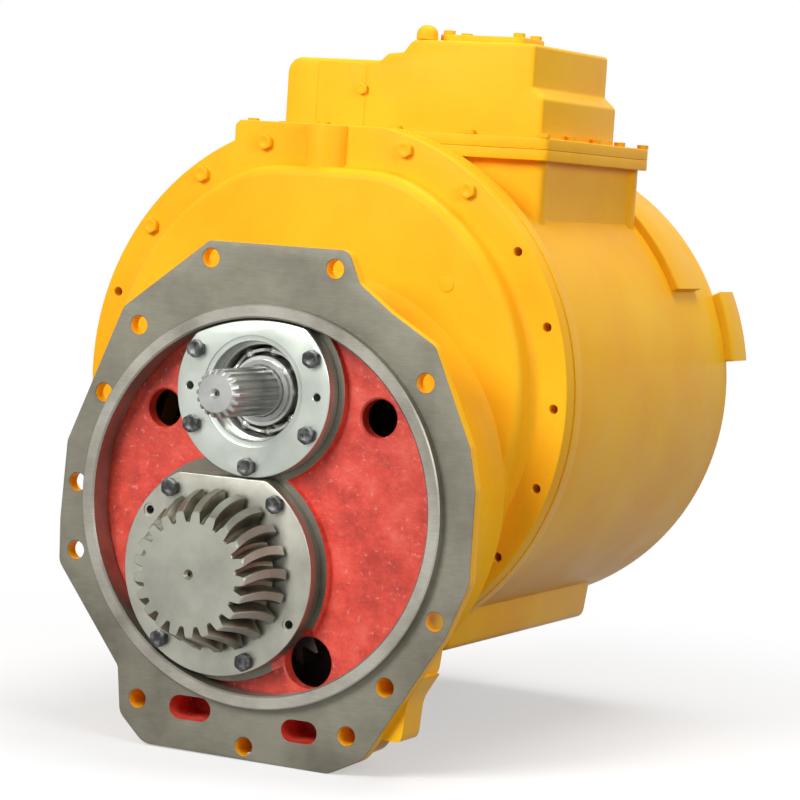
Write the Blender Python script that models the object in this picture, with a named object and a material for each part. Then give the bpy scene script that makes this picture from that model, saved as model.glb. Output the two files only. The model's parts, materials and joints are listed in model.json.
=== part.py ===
"""Power-shift gearbox of a mid-size crawler bulldozer.

The gearbox bolts by its grey front flange to the steering case.  The splined input shaft and the
spiral bevel output pinion both face forward.  The planetary train turns about the input axis, a
hollow output sleeve brings the drive forward again, and a pair of transfer gears lowers it to the
pinion shaft.  Two clutch packs hold the ring gears, and the control valve sits under the top cover.

Design values are in millimetres from the centre of the pilot bore, on the face of the front
flange: X to the right as seen from the front, Y into the gearbox, Z up.  The finished model is in
metres, with its origin at the bottom centre of its bounding box.
"""
import math

import bmesh
import bpy
from mathutils import Vector

MM = 0.001

# Clearances
SEAT_GAP = 0.3            # between two pieces that are bolted or pressed together
RUNNING_GAP = 0.5         # between a turning piece and what it runs in

# Front flange and pilot spigot
SPIGOT_R = 230.5
SPIGOT_WALL = 15.5
PILOT_BORE_R = SPIGOT_R - SPIGOT_WALL
SPIGOT_PROUD = 12.0
FLANGE_THICK = 17.0
FLANGE_HALF_WIDTH = 266.0
FLANGE_TOP = 298.0
FLANGE_BOTTOM = -293.0
FLANGE_HOLE_R = 11.0
FLANGE_HOLES = ((-84, 278), (76, 276), (-174, 194), (-216, 112), (197, 158), (-245, 4), (-242, -76),
                (227, -105), (171, -186), (-147, -240), (127, -247), (-3, -277))
DRAIN_SLOTS = ((-76, -242, 55, 28), (67, -250, 46, 26))      # x, z, length, height
RECESS_DEPTH = 22.0       # from the flange face to the painted inner wall
INNER_WALL_THICK = 18.0
COVER_BOSS_PROUD = 10.0   # machined figure-eight face that carries both covers
COVER_BOSS_RIM = 8.0
WALL_HOLES = ((-146, 99, 22), (132, 112, 22), (61, -174, 30))     # x, z, radius

# Shaft axes
INPUT_X = -14.0
INPUT_Z = 131.0
AXIS_LEAN = math.radians(-98.7)       # direction from the input axis down to the pinion axis
TRANSFER_MODULE = 7.0
PRESSURE_ANGLE = math.radians(25.0)
BACKLASH = 1.3
DRIVE_TEETH = 24
DRIVEN_TEETH = 36
AXIS_DISTANCE = TRANSFER_MODULE * (DRIVE_TEETH + DRIVEN_TEETH) / 2
PINION_X = INPUT_X + AXIS_DISTANCE * math.cos(AXIS_LEAN)
PINION_Z = INPUT_Z + AXIS_DISTANCE * math.sin(AXIS_LEAN)
TRANSFER_GEAR_WIDTH = 38.0
CAGE_SPIGOT_END = 60.0
SPACER_LENGTH = 6.0
TRANSFER_GEAR_FRONT = CAGE_SPIGOT_END + SPACER_LENGTH
GEAR_BACK = TRANSFER_GEAR_FRONT + TRANSFER_GEAR_WIDTH

# Planetary train, held in two clutch housings
PLANETS = 3
PLANETARY_MODULE = 8.0
ORBIT_TEETH = 30                                  # sun and planet teeth together, in both sets
SPEED_PLANET_TEETH = 12
FORWARD_PLANET_TEETH = 15
PLANET_ORBIT = PLANETARY_MODULE * ORBIT_TEETH / 2
PLANET_PIN_R = 16.0
PLANET_FACE = 56.0
CARRIER_PLATE = 16.0
CARRIER_R = PLANET_ORBIT + 26.0
CARRIER_WEB_R = PLANET_ORBIT - 28.0
RING_GEAR_RIM = 17.0                              # from the pitch circle to the outside
RING_GEAR_OUT_R = PLANETARY_MODULE * (ORBIT_TEETH + FORWARD_PLANET_TEETH) / 2 + RING_GEAR_RIM
SUPPORT_THICK = 24.0
DISC_REACH = 41.0                                 # room for discs and plates round the ring gear
HOUSING_BORE_R = RING_GEAR_OUT_R + DISC_REACH
HOUSING_WALL = 40.0
HOUSING_R = HOUSING_BORE_R + HOUSING_WALL
HOUSING_LENGTH = 100.0
HOUSING_WEB = 22.0
HOUSING_WEB_R = RING_GEAR_OUT_R + 8.0
DISC_THICK = 9.0
PISTON_STROKE = 3.0
TIE_BOLT_INSET = 11.0
TIE_BOLT_R = HOUSING_R - TIE_BOLT_INSET
TIE_BOLT = (6.0, 9.5, 8.0)
TIE_BOLTS = 6
TIE_THREAD = 18.0
TAIL_BEARING_R = 42.0
SUPPORT_RIM = 12.0
# The support carries both the clutch stack and the tail bearing of the pinion shaft
SUPPORT_R = max(HOUSING_R, AXIS_DISTANCE + TAIL_BEARING_R + SUPPORT_RIM)

# Main case barrel and the bolting ring in front of it
HOUSING_CLEARANCE = 12.0
BARREL_WALL = 12.0
BARREL_R = SUPPORT_R + HOUSING_CLEARANCE + BARREL_WALL
BARREL_REAR = 752.0
REAR_WALL = 14.0
REAR_BORE_R = 60.0
RING_OVERHANG = 14.0      # of the bolting ring over the barrel
RING_R = BARREL_R + RING_OVERHANG
RING_BOLT_R = RING_R - 16.0
RING_FLAT = 6.0           # the ring is cut flat this far below its crest
RING_TOP = INPUT_Z + RING_R - RING_FLAT
LEDGE_LEFT = -150.0       # the ring squares out to this X at the top left
RING_HOLES = 20
RING_BOLTED = (3, 4, 6, 7, 8, 12, 14, 16)        # holes that hold a bolt, counted from the right
RING_BOLT = (5.0, 8.5, 7.5)
CASE_FLANGE_R = RING_R + 2.0
CASE_FLANGE_THICK = 22.0

# Front case behind the flange
NECK_R = SPIGOT_R + 3.5
NECK_WALL = 8.0
GEAR_CHAMBER_R = NECK_R - NECK_WALL
GEAR_CHAMBER_BACK = GEAR_BACK + 10.0
SHOULDER_WALL = 11.0
SHOULDER_DEPTH = 32.0
SHOULDER_Y = GEAR_CHAMBER_BACK + SHOULDER_WALL    # face of the round shoulder
RING_FRONT = SHOULDER_Y + SHOULDER_DEPTH
RING_THICK = 23.0
SHOULDER_R = RING_R - 44.0
SHOULDER_TOP = RING_TOP - 50.0                    # the shoulder is flat on top, under the valve chamber
CAVITY_R = SUPPORT_R - 22.0                       # rear opening of the front case, about the input axis
PASSAGE_BOSS_X = -25.0    # half-round oil passage on the ring, at the top
PASSAGE_BOSS_R = 26.0
PASSAGE_R = 198.0
PASSAGE_Z = 66.0
FOOT = (150.0, 205.0, -248.0, -180.0, 72.0)      # x from, x to, z bottom, z top, y back

# Sump, valve chamber and rear fittings of the main case
CHAMBER_FLANGE = (-190.0, 216.0, 252.0, 586.0)    # x from, x to, y from, y to
CHAMBER_FLANGE_THICK = 13.0
CHAMBER = (CHAMBER_FLANGE[0] + 12.0, CHAMBER_FLANGE[1] - 11.0, CHAMBER_FLANGE[2] + 16.0,
           CHAMBER_FLANGE[3] - 4.0)
CHAMBER_WALL = 12.0
CHAMBER_PANEL = 5.0       # depth of the panel on the right side
CHAMBER_COLUMN = 24.0
CREST_CUT = 6.0           # the chamber's rim lies this far below the crest of the barrel
CHAMBER_TOP = INPUT_Z + BARREL_R - CREST_CUT
SUMP = (-168.0, 140.0, INPUT_Z - BARREL_R - 7.0, 250.0, BARREL_REAR - 77.0)     # x, x, z bottom, y, y
REAR_COVER_R = 92.0
REAR_BEARING_R = 45.0
REAR_BOLT_R = 78.0
# y from, y to, angle from, angle to, height
OIL_BAND = (CHAMBER_FLANGE[3] + 1.0, BARREL_REAR - 80.0, 26.0, 50.0, 10.0)
REAR_LUG = (BARREL_REAR - 24.0, BARREL_REAR + 30.0, 8.0, 25.0, 12.0)

# Covers over the two shafts
INPUT_COVER_R = 98.5
INPUT_COVER_FRONT = -10.0
INPUT_COVER_OPENING_R = 57.0
INPUT_COVER_BOLT_R = 86.0
INPUT_COVER_BOLTS = (30, 150, 210, 270, 330)     # degrees; the top one is left out
PINION_CAGE_R = 122.0
PINION_CAGE_FRONT = -12.0
PINION_CAGE_BOLT_R = 110.0
PINION_CAGE_BOLTS = (49, 126, 232, 294)
PINION_CAGE_CHORD = 108.0                         # height of the flat above the pinion axis
CAGE_SPIGOT_R = 88.0
COVER_TRIM_R = PILOT_BORE_R - 2.5
COVER_THREAD = 18.0
BOLT_BED = 0.4
JACK_HOLE_R = 4.5
JACK_HOLES_INPUT = (180, 0)
JACK_HOLES_PINION = (147, 332)
COVER_BOLT = (6.0, 9.5, 8.0)                      # shank radius, half width across flats, head height

# Shafts and bearings
SHAFT_R = 26.0
SPLINE_R = 27.5
SPLINE_ROOT_R = 24.5
SPLINE_TEETH = 18
INPUT_FRONT = -96.0
SPLINE_END = 8.0
INPUT_BEARING = (30.0, 40.5, 53.0, 62.0, 24.0)    # bore, inner land, outer land, outside, width
BALL_R = 6.6
BALL_COUNT = 9
BALL_GROOVE = 0.6
SLEEVE_IN_R = 30.0
SLEEVE_OUT_R = 46.0
PINION_SHAFT_R = 38.0
PINION_TAIL_R = 25.0
PINION_HUB_R = 57.0
CAGE_BORE_R = 68.0
CAGE_LIP_R = 60.0
CAGE_LIP_BACK = -4.0
ROLLER_COUNT = 12
SLEEVE_BEARING_R = 66.0

# Spiral bevel pinion
PINION_TEETH = 21
PINION_FRONT = -76.0
PINION_HEEL = -18.0
PINION_TOE_TIP_R = 72.0
PINION_HEEL_TIP_R = 94.0
PINION_TOE_DEPTH = 12.5
PINION_HEEL_DEPTH = 17.0
PINION_SPIRAL = math.radians(17.8)                # turn of the tooth line at the toe ...
PINION_SPIRAL_BACK = math.radians(14.8)           # ... and its curving back towards the heel

# Control valve and its cover
COVER_FRONT = CHAMBER_FLANGE[2] + 10.0
COVER_LENGTH = 233.0
COVER_REAR = COVER_FRONT + COVER_LENGTH
COVER_LEFT = CHAMBER_FLANGE[0] + 50.0
COVER_RIGHT = CHAMBER_FLANGE[1] - 14.0
COVER_LOW_TOP = CHAMBER_TOP + 97.0
COVER_HIGH_TOP = COVER_LOW_TOP + 27.0
COVER_HIGH_LEFT = 26.0
COVER_UPPER_RIGHT = COVER_RIGHT - 15.0
COVER_STEP_Z = CHAMBER_TOP + 67.0
COVER_WALL = 9.0
COVER_FLANGE_THICK = 14.0
VALVE_BODY = (-105.0, 150.0, 300.0, 450.0, 66.0)  # x from, x to, y from, y to, height
SPOOL_R = 11.0
SPOOL_OVERHANG = 7.5      # past each end of the valve body
SPOOL_LENGTH = VALVE_BODY[1] - VALVE_BODY[0] + 2 * SPOOL_OVERHANG
BREATHER = (COVER_HIGH_LEFT + 12.0, COVER_FRONT + 18.0)
BREATHER_R = 13.0
BREATHER_STEM_R = 6.0
RIM_INSET = 8.0
RIM_BOLT = (4.0, 6.5, 5.5)
# x from, x to, y from, y to, thickness
TOP_PLATE = (COVER_HIGH_LEFT + 19.0, COVER_UPPER_RIGHT - 30.0, COVER_FRONT + 34.0, COVER_FRONT + 104.0, 9.0)

# Derived places along the train
REAR_COVER_THICK = 12.0
INNER_WALL_BACK = RECESS_DEPTH + INNER_WALL_THICK
COVER_SEAT = RECESS_DEPTH - COVER_BOSS_PROUD
RING_BACK = RING_FRONT + RING_THICK
MAIN_FRONT = RING_BACK + SEAT_GAP
SUPPORT_BACK = MAIN_FRONT + SUPPORT_THICK
SPEED_HOUSING = SUPPORT_BACK + SEAT_GAP
FORWARD_HOUSING = SPEED_HOUSING + HOUSING_LENGTH + SEAT_GAP
STACK_END = FORWARD_HOUSING + HOUSING_LENGTH
INPUT_BEARING_FRONT = COVER_SEAT + SEAT_GAP
INPUT_BEARING_BACK = INPUT_BEARING_FRONT + INPUT_BEARING[4]
SPEED_GEARS = SPEED_HOUSING + 34.0
FORWARD_GEARS = FORWARD_HOUSING + 34.0
REAR_END = REAR_LUG[1]
ORIGIN = Vector((INPUT_X, (INPUT_FRONT + REAR_END) / 2, FLANGE_BOTTOM))

CAST_YELLOW = ((0.86, 0.47, 0.03), 0.45, 0.0)
STEEL = ((0.55, 0.57, 0.56), 0.32, 1.0)
DARK_STEEL = ((0.10, 0.10, 0.11), 0.45, 0.9)
GEAR_STEEL = ((0.36, 0.34, 0.29), 0.35, 1.0)
FRICTION = ((0.16, 0.11, 0.07), 0.8, 0.0)


# Outlines in the XZ plane
def circle(n, r, cx=0.0, cz=0.0, turn=0.0):
    return [(cx + r * math.cos(turn + 2 * math.pi * i / n), cz + r * math.sin(turn + 2 * math.pi * i / n))
            for i in range(n)]


def bore(n, r):
    """Corner radius of an n-sided hole that clears a round of radius r."""
    return r / math.cos(math.pi / n)


def polar(r, degrees, cx=0.0, cz=0.0):
    a = math.radians(degrees)
    return cx + r * math.cos(a), cz + r * math.sin(a)


def involute(angle):
    return math.tan(angle) - angle


def tooth_half_angle(r, teeth, module, thickening):
    """Half angle of an involute tooth, or of the space in a ring gear, at radius r."""
    pitch_r = module * teeth / 2
    base_r = pitch_r * math.cos(PRESSURE_ANGLE)
    return (math.pi / (2 * teeth) + thickening / (2 * pitch_r) + involute(PRESSURE_ANGLE)
            - involute(math.acos(min(1.0, base_r / max(r, base_r)))))


def gear_outline(teeth, module, first_tooth, cx, cz, internal=False):
    """Spur gear teeth; with internal, the tooth spaces of a ring gear, the first one at first_tooth."""
    pitch_r = module * teeth / 2
    low = pitch_r - (1.0 if internal else 1.25) * module
    high = pitch_r + (1.25 if internal else 1.0) * module
    thickening = BACKLASH / 2 if internal else -BACKLASH / 2
    points = []
    for k in range(teeth):
        centre = first_tooth + 2 * math.pi * k / teeth
        for r, side in ((low, -1), (high, -1), (high, 1), (low, 1)):
            a = centre + side * tooth_half_angle(r, teeth, module, thickening)
            points.append((cx + r * math.cos(a), cz + r * math.sin(a)))
    return points


def rounded_polygon(corners, steps=5):
    """Corners given as (x, z, radius), each turned into an arc."""
    points = []
    count = len(corners)
    for i, (x, z, r) in enumerate(corners):
        here = Vector((x, z))
        if r <= 0:
            points.append((x, z))
            continue
        before = (Vector(corners[i - 1][:2]) - here).normalized()
        after = (Vector(corners[(i + 1) % count][:2]) - here).normalized()
        half = math.acos(max(-1.0, min(1.0, before.dot(after)))) / 2
        reach = r / math.tan(half)
        middle = here + (before + after).normalized() * (r / math.sin(half))
        start = here + before * reach - middle
        end = here + after * reach - middle
        sweep = start.angle_signed(end)
        for k in range(steps + 1):
            a = -sweep * k / steps
            p = middle + Vector((start.x * math.cos(a) - start.y * math.sin(a),
                                 start.x * math.sin(a) + start.y * math.cos(a)))
            points.append((p.x, p.y))
    return points


# Solids, added to a bmesh in millimetres
def loft(bm, sections):
    """Closed solid through outlines of equal count, each given as (y, [(x, z), ...])."""
    rings = [[bm.verts.new((x, y, z)) for x, z in outline] for y, outline in sections]
    count = len(rings[0])
    for a, b in zip(rings, rings[1:]):
        for i in range(count):
            j = (i + 1) % count
            bm.faces.new((a[i], a[j], b[j], b[i]))
    bm.faces.new(rings[0][::-1])
    bm.faces.new(rings[-1])


def prism(bm, outline, y0, y1):
    loft(bm, ((y0, outline), (y1, outline)))


def tube(bm, outside, inside, y0, y1):
    """Prism with one hole; the two outlines may have different counts."""
    front = [bm.verts.new((x, y0, z)) for x, z in outside], [bm.verts.new((x, y0, z)) for x, z in inside]
    back = [bm.verts.new((x, y1, z)) for x, z in outside], [bm.verts.new((x, y1, z)) for x, z in inside]
    for a, b in zip(front, back):
        for i in range(len(a)):
            j = (i + 1) % len(a)
            bm.faces.new((a[i], a[j], b[j], b[i]))
    for loops in (front, back):
        edges = []
        for loop in loops:
            edges += [bm.edges.get((loop[i], loop[(i + 1) % len(loop)])) for i in range(len(loop))]
        bmesh.ops.triangle_fill(bm, use_beauty=True, use_dissolve=False, edges=edges)


def lathe(bm, profile, cx, cz, n, hole_from=None):
    """Turn a (radius, y) profile about a Y axis.  A profile that starts and ends on the axis is closed
    by flat ends; points from index hole_from on are the corners of a bore."""
    solid = profile[0][0] == 0
    rings = []
    for index, (r, y) in enumerate(profile):
        if r > 0:
            r = bore(n, r) if hole_from is not None and index >= hole_from else r
            rings.append([bm.verts.new((x, y, z)) for x, z in circle(n, r, cx, cz)])
    for a, b in zip(rings, rings[1:] if solid else rings[1:] + rings[:1]):
        for i in range(n):
            j = (i + 1) % n
            bm.faces.new((a[i], a[j], b[j], b[i]))
    if solid:
        bm.faces.new(rings[0][::-1])
        bm.faces.new(rings[-1])


def ring(bm, inner, outer, y0, y1, cx, cz, n):
    lathe(bm, ((outer, y0), (outer, y1), (inner, y1), (inner, y0)), cx, cz, n, hole_from=2)


def stack(bm, sections):
    """Closed solid standing along Z through outlines of equal count, each given as (z, [(x, y), ...])."""
    rings = [[bm.verts.new((x, y, z)) for x, y in outline] for z, outline in sections]
    for a, b in zip(rings, rings[1:]):
        for i in range(len(a)):
            j = (i + 1) % len(a)
            bm.faces.new((a[i], a[j], b[j], b[i]))
    bm.faces.new(rings[0][::-1])
    bm.faces.new(rings[-1])


def pillar(bm, outline, z0, z1):
    stack(bm, ((z0, outline), (z1, outline)))


def box(bm, x0, x1, y0, y1, z0, z1):
    prism(bm, ((x0, z0), (x1, z0), (x1, z1), (x0, z1)), y0, y1)


def hex_bolt(bm, seat, direction, shank_r, half_flats, head, length, chamfer=1.5, sides=6):
    """Hexagon head bolt: its head stands on the seat point against the direction of its shank."""
    direction = Vector(direction)
    across = Vector((1, 0, 0))
    other = direction.cross(across)
    seat = Vector(seat)

    def corners(r, along):
        return [bm.verts.new(seat + direction * along + (across * math.cos(a) + other * math.sin(a)) * r)
                for a in (2 * math.pi * k / sides for k in range(sides))]

    head_r = half_flats / math.cos(math.pi / 6)
    rings = [corners(head_r, -head + chamfer)]
    if chamfer:
        rings.insert(0, corners(head_r * 0.86, -head))
    rings += [corners(head_r, 0.0), corners(shank_r, 0.0), corners(shank_r, length)]
    for a, b in zip(rings, rings[1:]):
        for i in range(sides):
            j = (i + 1) % sides
            bm.faces.new((a[i], a[j], b[j], b[i]))
    bm.faces.new(rings[0][::-1])
    bm.faces.new(rings[-1])


# Objects
def finish_material(name, look):
    colour, roughness, metallic = look
    material = bpy.data.materials.new(name)
    material.use_nodes = True
    shader = material.node_tree.nodes['Principled BSDF']
    shader.inputs['Base Color'].default_value = (*colour, 1.0)
    shader.inputs['Roughness'].default_value = roughness
    shader.inputs['Metallic'].default_value = metallic
    material.diffuse_color = (*colour, 1.0)
    return material


def make_object(name, bm, pivot=(0.0, 0.0, 0.0), look=None):
    """Turn a bmesh into an object whose origin is the pivot point."""
    pivot = Vector(pivot)
    bmesh.ops.recalc_face_normals(bm, faces=bm.faces)
    for vert in bm.verts:
        vert.co = (vert.co - pivot) * MM
    mesh = bpy.data.meshes.new(name)
    bm.to_mesh(mesh)
    bm.free()
    mesh.shade_smooth()
    mesh.set_sharp_from_angle(angle=math.radians(32))
    if look:
        mesh.materials.append(finish_material(name, look))
    obj = bpy.data.objects.new(name, mesh)
    obj.location = (pivot - ORIGIN) * MM
    bpy.context.scene.collection.objects.link(obj)
    return obj


def change(obj, operation, fill):
    """Boolean with a helper solid; fill adds the solid to a bmesh."""
    bm = bmesh.new()
    fill(bm)
    helper = make_object(f'{obj.name}_{operation.lower()}_{len(obj.modifiers)}', bm)
    helper.hide_render = True
    helper.display_type = 'WIRE'
    modifier = obj.modifiers.new(operation.title(), 'BOOLEAN')
    modifier.operation = operation
    modifier.object = helper
    modifier.solver = 'EXACT'


def cut(obj, fill):
    change(obj, 'DIFFERENCE', fill)


def join(obj, fill):
    change(obj, 'UNION', fill)


def shape(name, fill, look, pivot=(0.0, 0.0, 0.0)):
    bm = bmesh.new()
    fill(bm)
    return make_object(name, bm, pivot, look)


for old in list(bpy.data.objects):
    bpy.data.objects.remove(old, do_unlink=True)

INPUT_AXIS = (INPUT_X, 0.0, INPUT_Z)
PINION_AXIS = (PINION_X, 0.0, PINION_Z)


# Front case: flange, spigot, neck, round shoulder, ring, all one casting
def flange_outline():
    left, right, top, bottom = -FLANGE_HALF_WIDTH, FLANGE_HALF_WIDTH, FLANGE_TOP, FLANGE_BOTTOM
    return rounded_polygon((
        (-87, top, 10), (92, top, 14), (108, 262, 12), (150, 232, 30), (206, 200, 20), (right - 10, 92, 20),
        (right, 45, 30), (right, -60, 30), (242, -121, 30), (150, bottom + 22, 30), (106, bottom, 20),
        (-136, bottom + 2, 26), (-170, bottom + 34, 20), (-176, -205, 12), (left + 2, -92, 20),
        (left, -40, 20), (left + 4, 52, 20), (-196, 214, 14)), steps=2)


def shoulder_outline(r, top, n=40):
    """Round about the input axis, cut flat at the top."""
    points = []
    for i in range(n):
        a = 2 * math.pi * (i + 0.5) / n
        reach = min(r, (top - INPUT_Z) / math.sin(a)) if math.sin(a) > 0.5 else r
        points.append((INPUT_X + reach * math.cos(a), INPUT_Z + reach * math.sin(a)))
    return points


def ring_outline(r, n=44):
    """The bolting ring: round, with a flat top that squares out over the left bolts."""
    rise = RING_TOP - INPUT_Z
    right = math.acos(math.sqrt(r * r - rise * rise) / r)
    left = math.pi - math.acos((INPUT_X - LEDGE_LEFT) / r)
    sweep = 2 * math.pi - (left - right)
    points = [(INPUT_X + r * math.cos(left + sweep * i / n), INPUT_Z + r * math.sin(left + sweep * i / n))
              for i in range(n + 1)]
    return points + [(LEDGE_LEFT + 6, RING_TOP), (LEDGE_LEFT, RING_TOP - 6)]


def neck_sections(n=32):
    stations = ((FLANGE_THICK - 3, 0, 0, NECK_R), (98, 0, 0, NECK_R), (113, -2, 6, NECK_R + 6),
                (SHOULDER_Y - 1, -4, 18, NECK_R + 17), (RING_FRONT + 4, -10, 72, NECK_R + 20))
    return [(y, circle(n, r, cx, cz)) for y, cx, cz, r in stations]



def slot_outline(x, z, length, height, n=4):
    r = height / 2
    reach = length / 2 - r
    quarter = [math.pi * (k / n - 0.5) for k in range(n + 1)]
    return ([(x + reach + r * math.cos(a), z + r * math.sin(a)) for a in quarter]
            + [(x - reach - r * math.cos(a), z - r * math.sin(a)) for a in quarter])


def boss_face(cover_r, cx, cz):
    """Machined face round a cover, trimmed where it would meet the pilot bore."""
    points = []
    for x, z in circle(36, cover_r + COVER_BOSS_RIM, cx, cz):
        scale = min(1.0, (PILOT_BORE_R + 3) / math.hypot(x, z))
        points.append((x * scale, z * scale))
    return points


def lower_body(bm):
    """The case closes in behind the lower edge of the flange."""
    front = [(-190, -130), (-172, -206), (-166, -254), (-133, FLANGE_BOTTOM + 7), (104, FLANGE_BOTTOM + 5),
             (146, -266), (206, -170), (215, -90)]
    back = [(x * 0.94, z * 0.94 + 6) for x, z in front]
    loft(bm, ((FLANGE_THICK - 3, front), (66, front), (84, back)))


def foot(bm):
    x0, x1, z0, z1, back = FOOT
    prism(bm, ((x0, z0), (x1 - 6, z0), (x1, z0 + 8), (x1 + 12, z1), (x0, z1 + 20)), FLANGE_THICK - 3, back)


front_case = shape('front_case', lambda bm: prism(bm, flange_outline(), 0.0, FLANGE_THICK), CAST_YELLOW)
join(front_case, lambda bm: loft(bm, neck_sections()))
join(front_case, lambda bm: prism(bm, circle(40, SPIGOT_R), -SPIGOT_PROUD, 8.0))
join(front_case, lower_body)
join(front_case, foot)
join(front_case, lambda bm: loft(bm, [
    (SHOULDER_Y, shoulder_outline(SHOULDER_R - 10, SHOULDER_TOP - 10)),
    (SHOULDER_Y + 3, shoulder_outline(SHOULDER_R - 3, SHOULDER_TOP - 3)),
    (SHOULDER_Y + 10, shoulder_outline(SHOULDER_R, SHOULDER_TOP)),
    (RING_FRONT + 4, shoulder_outline(SHOULDER_R + 13, SHOULDER_TOP + 2))]))
join(front_case, lambda bm: prism(bm, ring_outline(RING_R), RING_FRONT, RING_BACK))
join(front_case, lambda bm: pillar(
    bm, [(x, y) for x, y in circle(24, PASSAGE_BOSS_R, PASSAGE_BOSS_X, RING_FRONT + 2) if y < RING_FRONT + 4],
    SHOULDER_TOP - 16, RING_TOP - 0.4))

# Pilot recess, gear chamber, passage to the rear, rear opening
cut(front_case, lambda bm: prism(bm, circle(40, bore(40, PILOT_BORE_R)), -SPIGOT_PROUD - 5, RECESS_DEPTH))
cut(front_case, lambda bm: prism(bm, circle(28, GEAR_CHAMBER_R), INNER_WALL_BACK, GEAR_CHAMBER_BACK))
cut(front_case, lambda bm: prism(bm, circle(20, PASSAGE_R, INPUT_X + 4, PASSAGE_Z),
                                 GEAR_CHAMBER_BACK - 2, RING_FRONT - 2))
cut(front_case,
    lambda bm: prism(bm, circle(28, bore(28, CAVITY_R), INPUT_X, INPUT_Z), RING_FRONT - 8, RING_BACK + 5))
join(front_case,
     lambda bm: prism(bm, boss_face(INPUT_COVER_R, INPUT_X, INPUT_Z), COVER_SEAT, INNER_WALL_BACK - 2))
join(front_case,
     lambda bm: prism(bm, boss_face(PINION_CAGE_R, PINION_X, PINION_Z), COVER_SEAT, INNER_WALL_BACK - 2))


def flange_holes(bm):
    for x, z in FLANGE_HOLES:
        prism(bm, circle(8, FLANGE_HOLE_R, x, z), -5, FLANGE_THICK + 26)


def wall_openings(bm):
    """Bearing seat, cage seat, oil openings and drain slots."""
    prism(bm, circle(24, bore(24, INPUT_BEARING[3] + SEAT_GAP), INPUT_X, INPUT_Z),
          COVER_SEAT - 5, INPUT_BEARING_BACK + SEAT_GAP)
    prism(bm, circle(24, bore(24, CAGE_SPIGOT_R + SEAT_GAP), PINION_X, PINION_Z), COVER_SEAT - 5,
          INNER_WALL_BACK + 5)
    for x, z, r in WALL_HOLES:
        prism(bm, circle(12, r, x, z), COVER_SEAT - 5, INNER_WALL_BACK + 5)
    for slot in DRAIN_SLOTS:
        prism(bm, slot_outline(*slot), -5, 62)


def cover_bolt_holes(bm):
    for x, z in input_cover_bolt_places() + pinion_cage_bolt_places():
        prism(bm, circle(6, bore(6, COVER_BOLT[0] + SEAT_GAP), x, z), COVER_SEAT - 5,
              COVER_SEAT + COVER_THREAD + 2)


def ring_places(numbers):
    return [polar(RING_BOLT_R, 360 / RING_HOLES * k, INPUT_X, INPUT_Z) for k in numbers]


def ring_holes(numbers, y0, y1):
    def fill(bm):
        for x, z in ring_places(numbers):
            prism(bm, circle(6, bore(6, RING_BOLT[0] + SEAT_GAP), x, z), y0, y1)
    return fill


def tie_bolt_holes(bm):
    for x, z in tie_bolt_places():
        prism(bm, circle(6, bore(6, TIE_BOLT[0] + SEAT_GAP), x, z), RING_BACK - TIE_THREAD - 2, STACK_END + 5)


def input_cover_bolt_places():
    return [polar(INPUT_COVER_BOLT_R, a, INPUT_X, INPUT_Z) for a in INPUT_COVER_BOLTS]


def pinion_cage_bolt_places():
    return [polar(PINION_CAGE_BOLT_R, a, PINION_X, PINION_Z) for a in PINION_CAGE_BOLTS]


def tie_bolt_places():
    return [polar(TIE_BOLT_R, 30 + 360 / TIE_BOLTS * k, INPUT_X, INPUT_Z) for k in range(TIE_BOLTS)]


cut(front_case, flange_holes)
cut(front_case, wall_openings)
cut(front_case,
    lambda bm: prism(bm, circle(24, INPUT_BEARING[3] - 7, INPUT_X, INPUT_Z), COVER_SEAT, INNER_WALL_BACK + 5))
cut(front_case, cover_bolt_holes)
cut(front_case,
    ring_holes([k for k in range(RING_HOLES) if k not in RING_BOLTED], RING_FRONT - 5, RING_BACK + 5))
cut(front_case, tie_bolt_holes)

# Main case: flange, barrel, oil sump, valve chamber
main_case = shape('main_case',
    lambda bm: prism(bm, ring_outline(CASE_FLANGE_R), MAIN_FRONT, MAIN_FRONT + CASE_FLANGE_THICK),
                  CAST_YELLOW)
join(main_case, lambda bm: lathe(bm, (
    (0, MAIN_FRONT + 2), (BARREL_R, MAIN_FRONT + 2), (BARREL_R, BARREL_REAR - 16),
    (BARREL_R - 5, BARREL_REAR - 5),
    (BARREL_R - 16, BARREL_REAR), (0, BARREL_REAR)), INPUT_X, INPUT_Z, 44))


def rounded(corners, r, steps=2):
    return rounded_polygon([(x, y, r) for x, y in corners], steps)


def rectangle(x0, x1, y0, y1):
    return (x0, y0), (x1, y0), (x1, y1), (x0, y1)


def arc_band(bm, r0, r1, a0, a1, y0, y1, n=5):
    """Curved pad about the input axis, between two angles in degrees."""
    angles = [a0 + (a1 - a0) * k / n for k in range(n + 1)]
    outline = ([polar(r1, a, INPUT_X, INPUT_Z) for a in angles]
               + [polar(r0, a, INPUT_X, INPUT_Z) for a in angles[::-1]])
    prism(bm, outline, y0, y1)


def chamber_outline():
    """Valve chamber, with a shallow panel between the corner columns on its right side."""
    x0, x1, y0, y1 = CHAMBER
    panel = x1 - CHAMBER_PANEL
    return rounded_polygon(((x0, y0, 14), (x1, y0, 9), (x1, y0 + CHAMBER_COLUMN, 0),
                            (panel, y0 + CHAMBER_COLUMN + 4, 0),
                            (panel, y1 - CHAMBER_COLUMN - 4, 0), (x1, y1 - CHAMBER_COLUMN, 0), (x1, y1, 9),
                            (x0, y1, 14)), 2)


def sump_block(bm):
    x0, x1, z0, y0, y1 = SUMP
    loft(bm, ((y0, ((x0, z0 + 60), (x0 + 8, z0), (x1 - 8, z0), (x1, z0 + 60))),
              (y1, ((x0, z0 + 60), (x0 + 8, z0), (x1 - 8, z0), (x1, z0 + 60)))))


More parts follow.
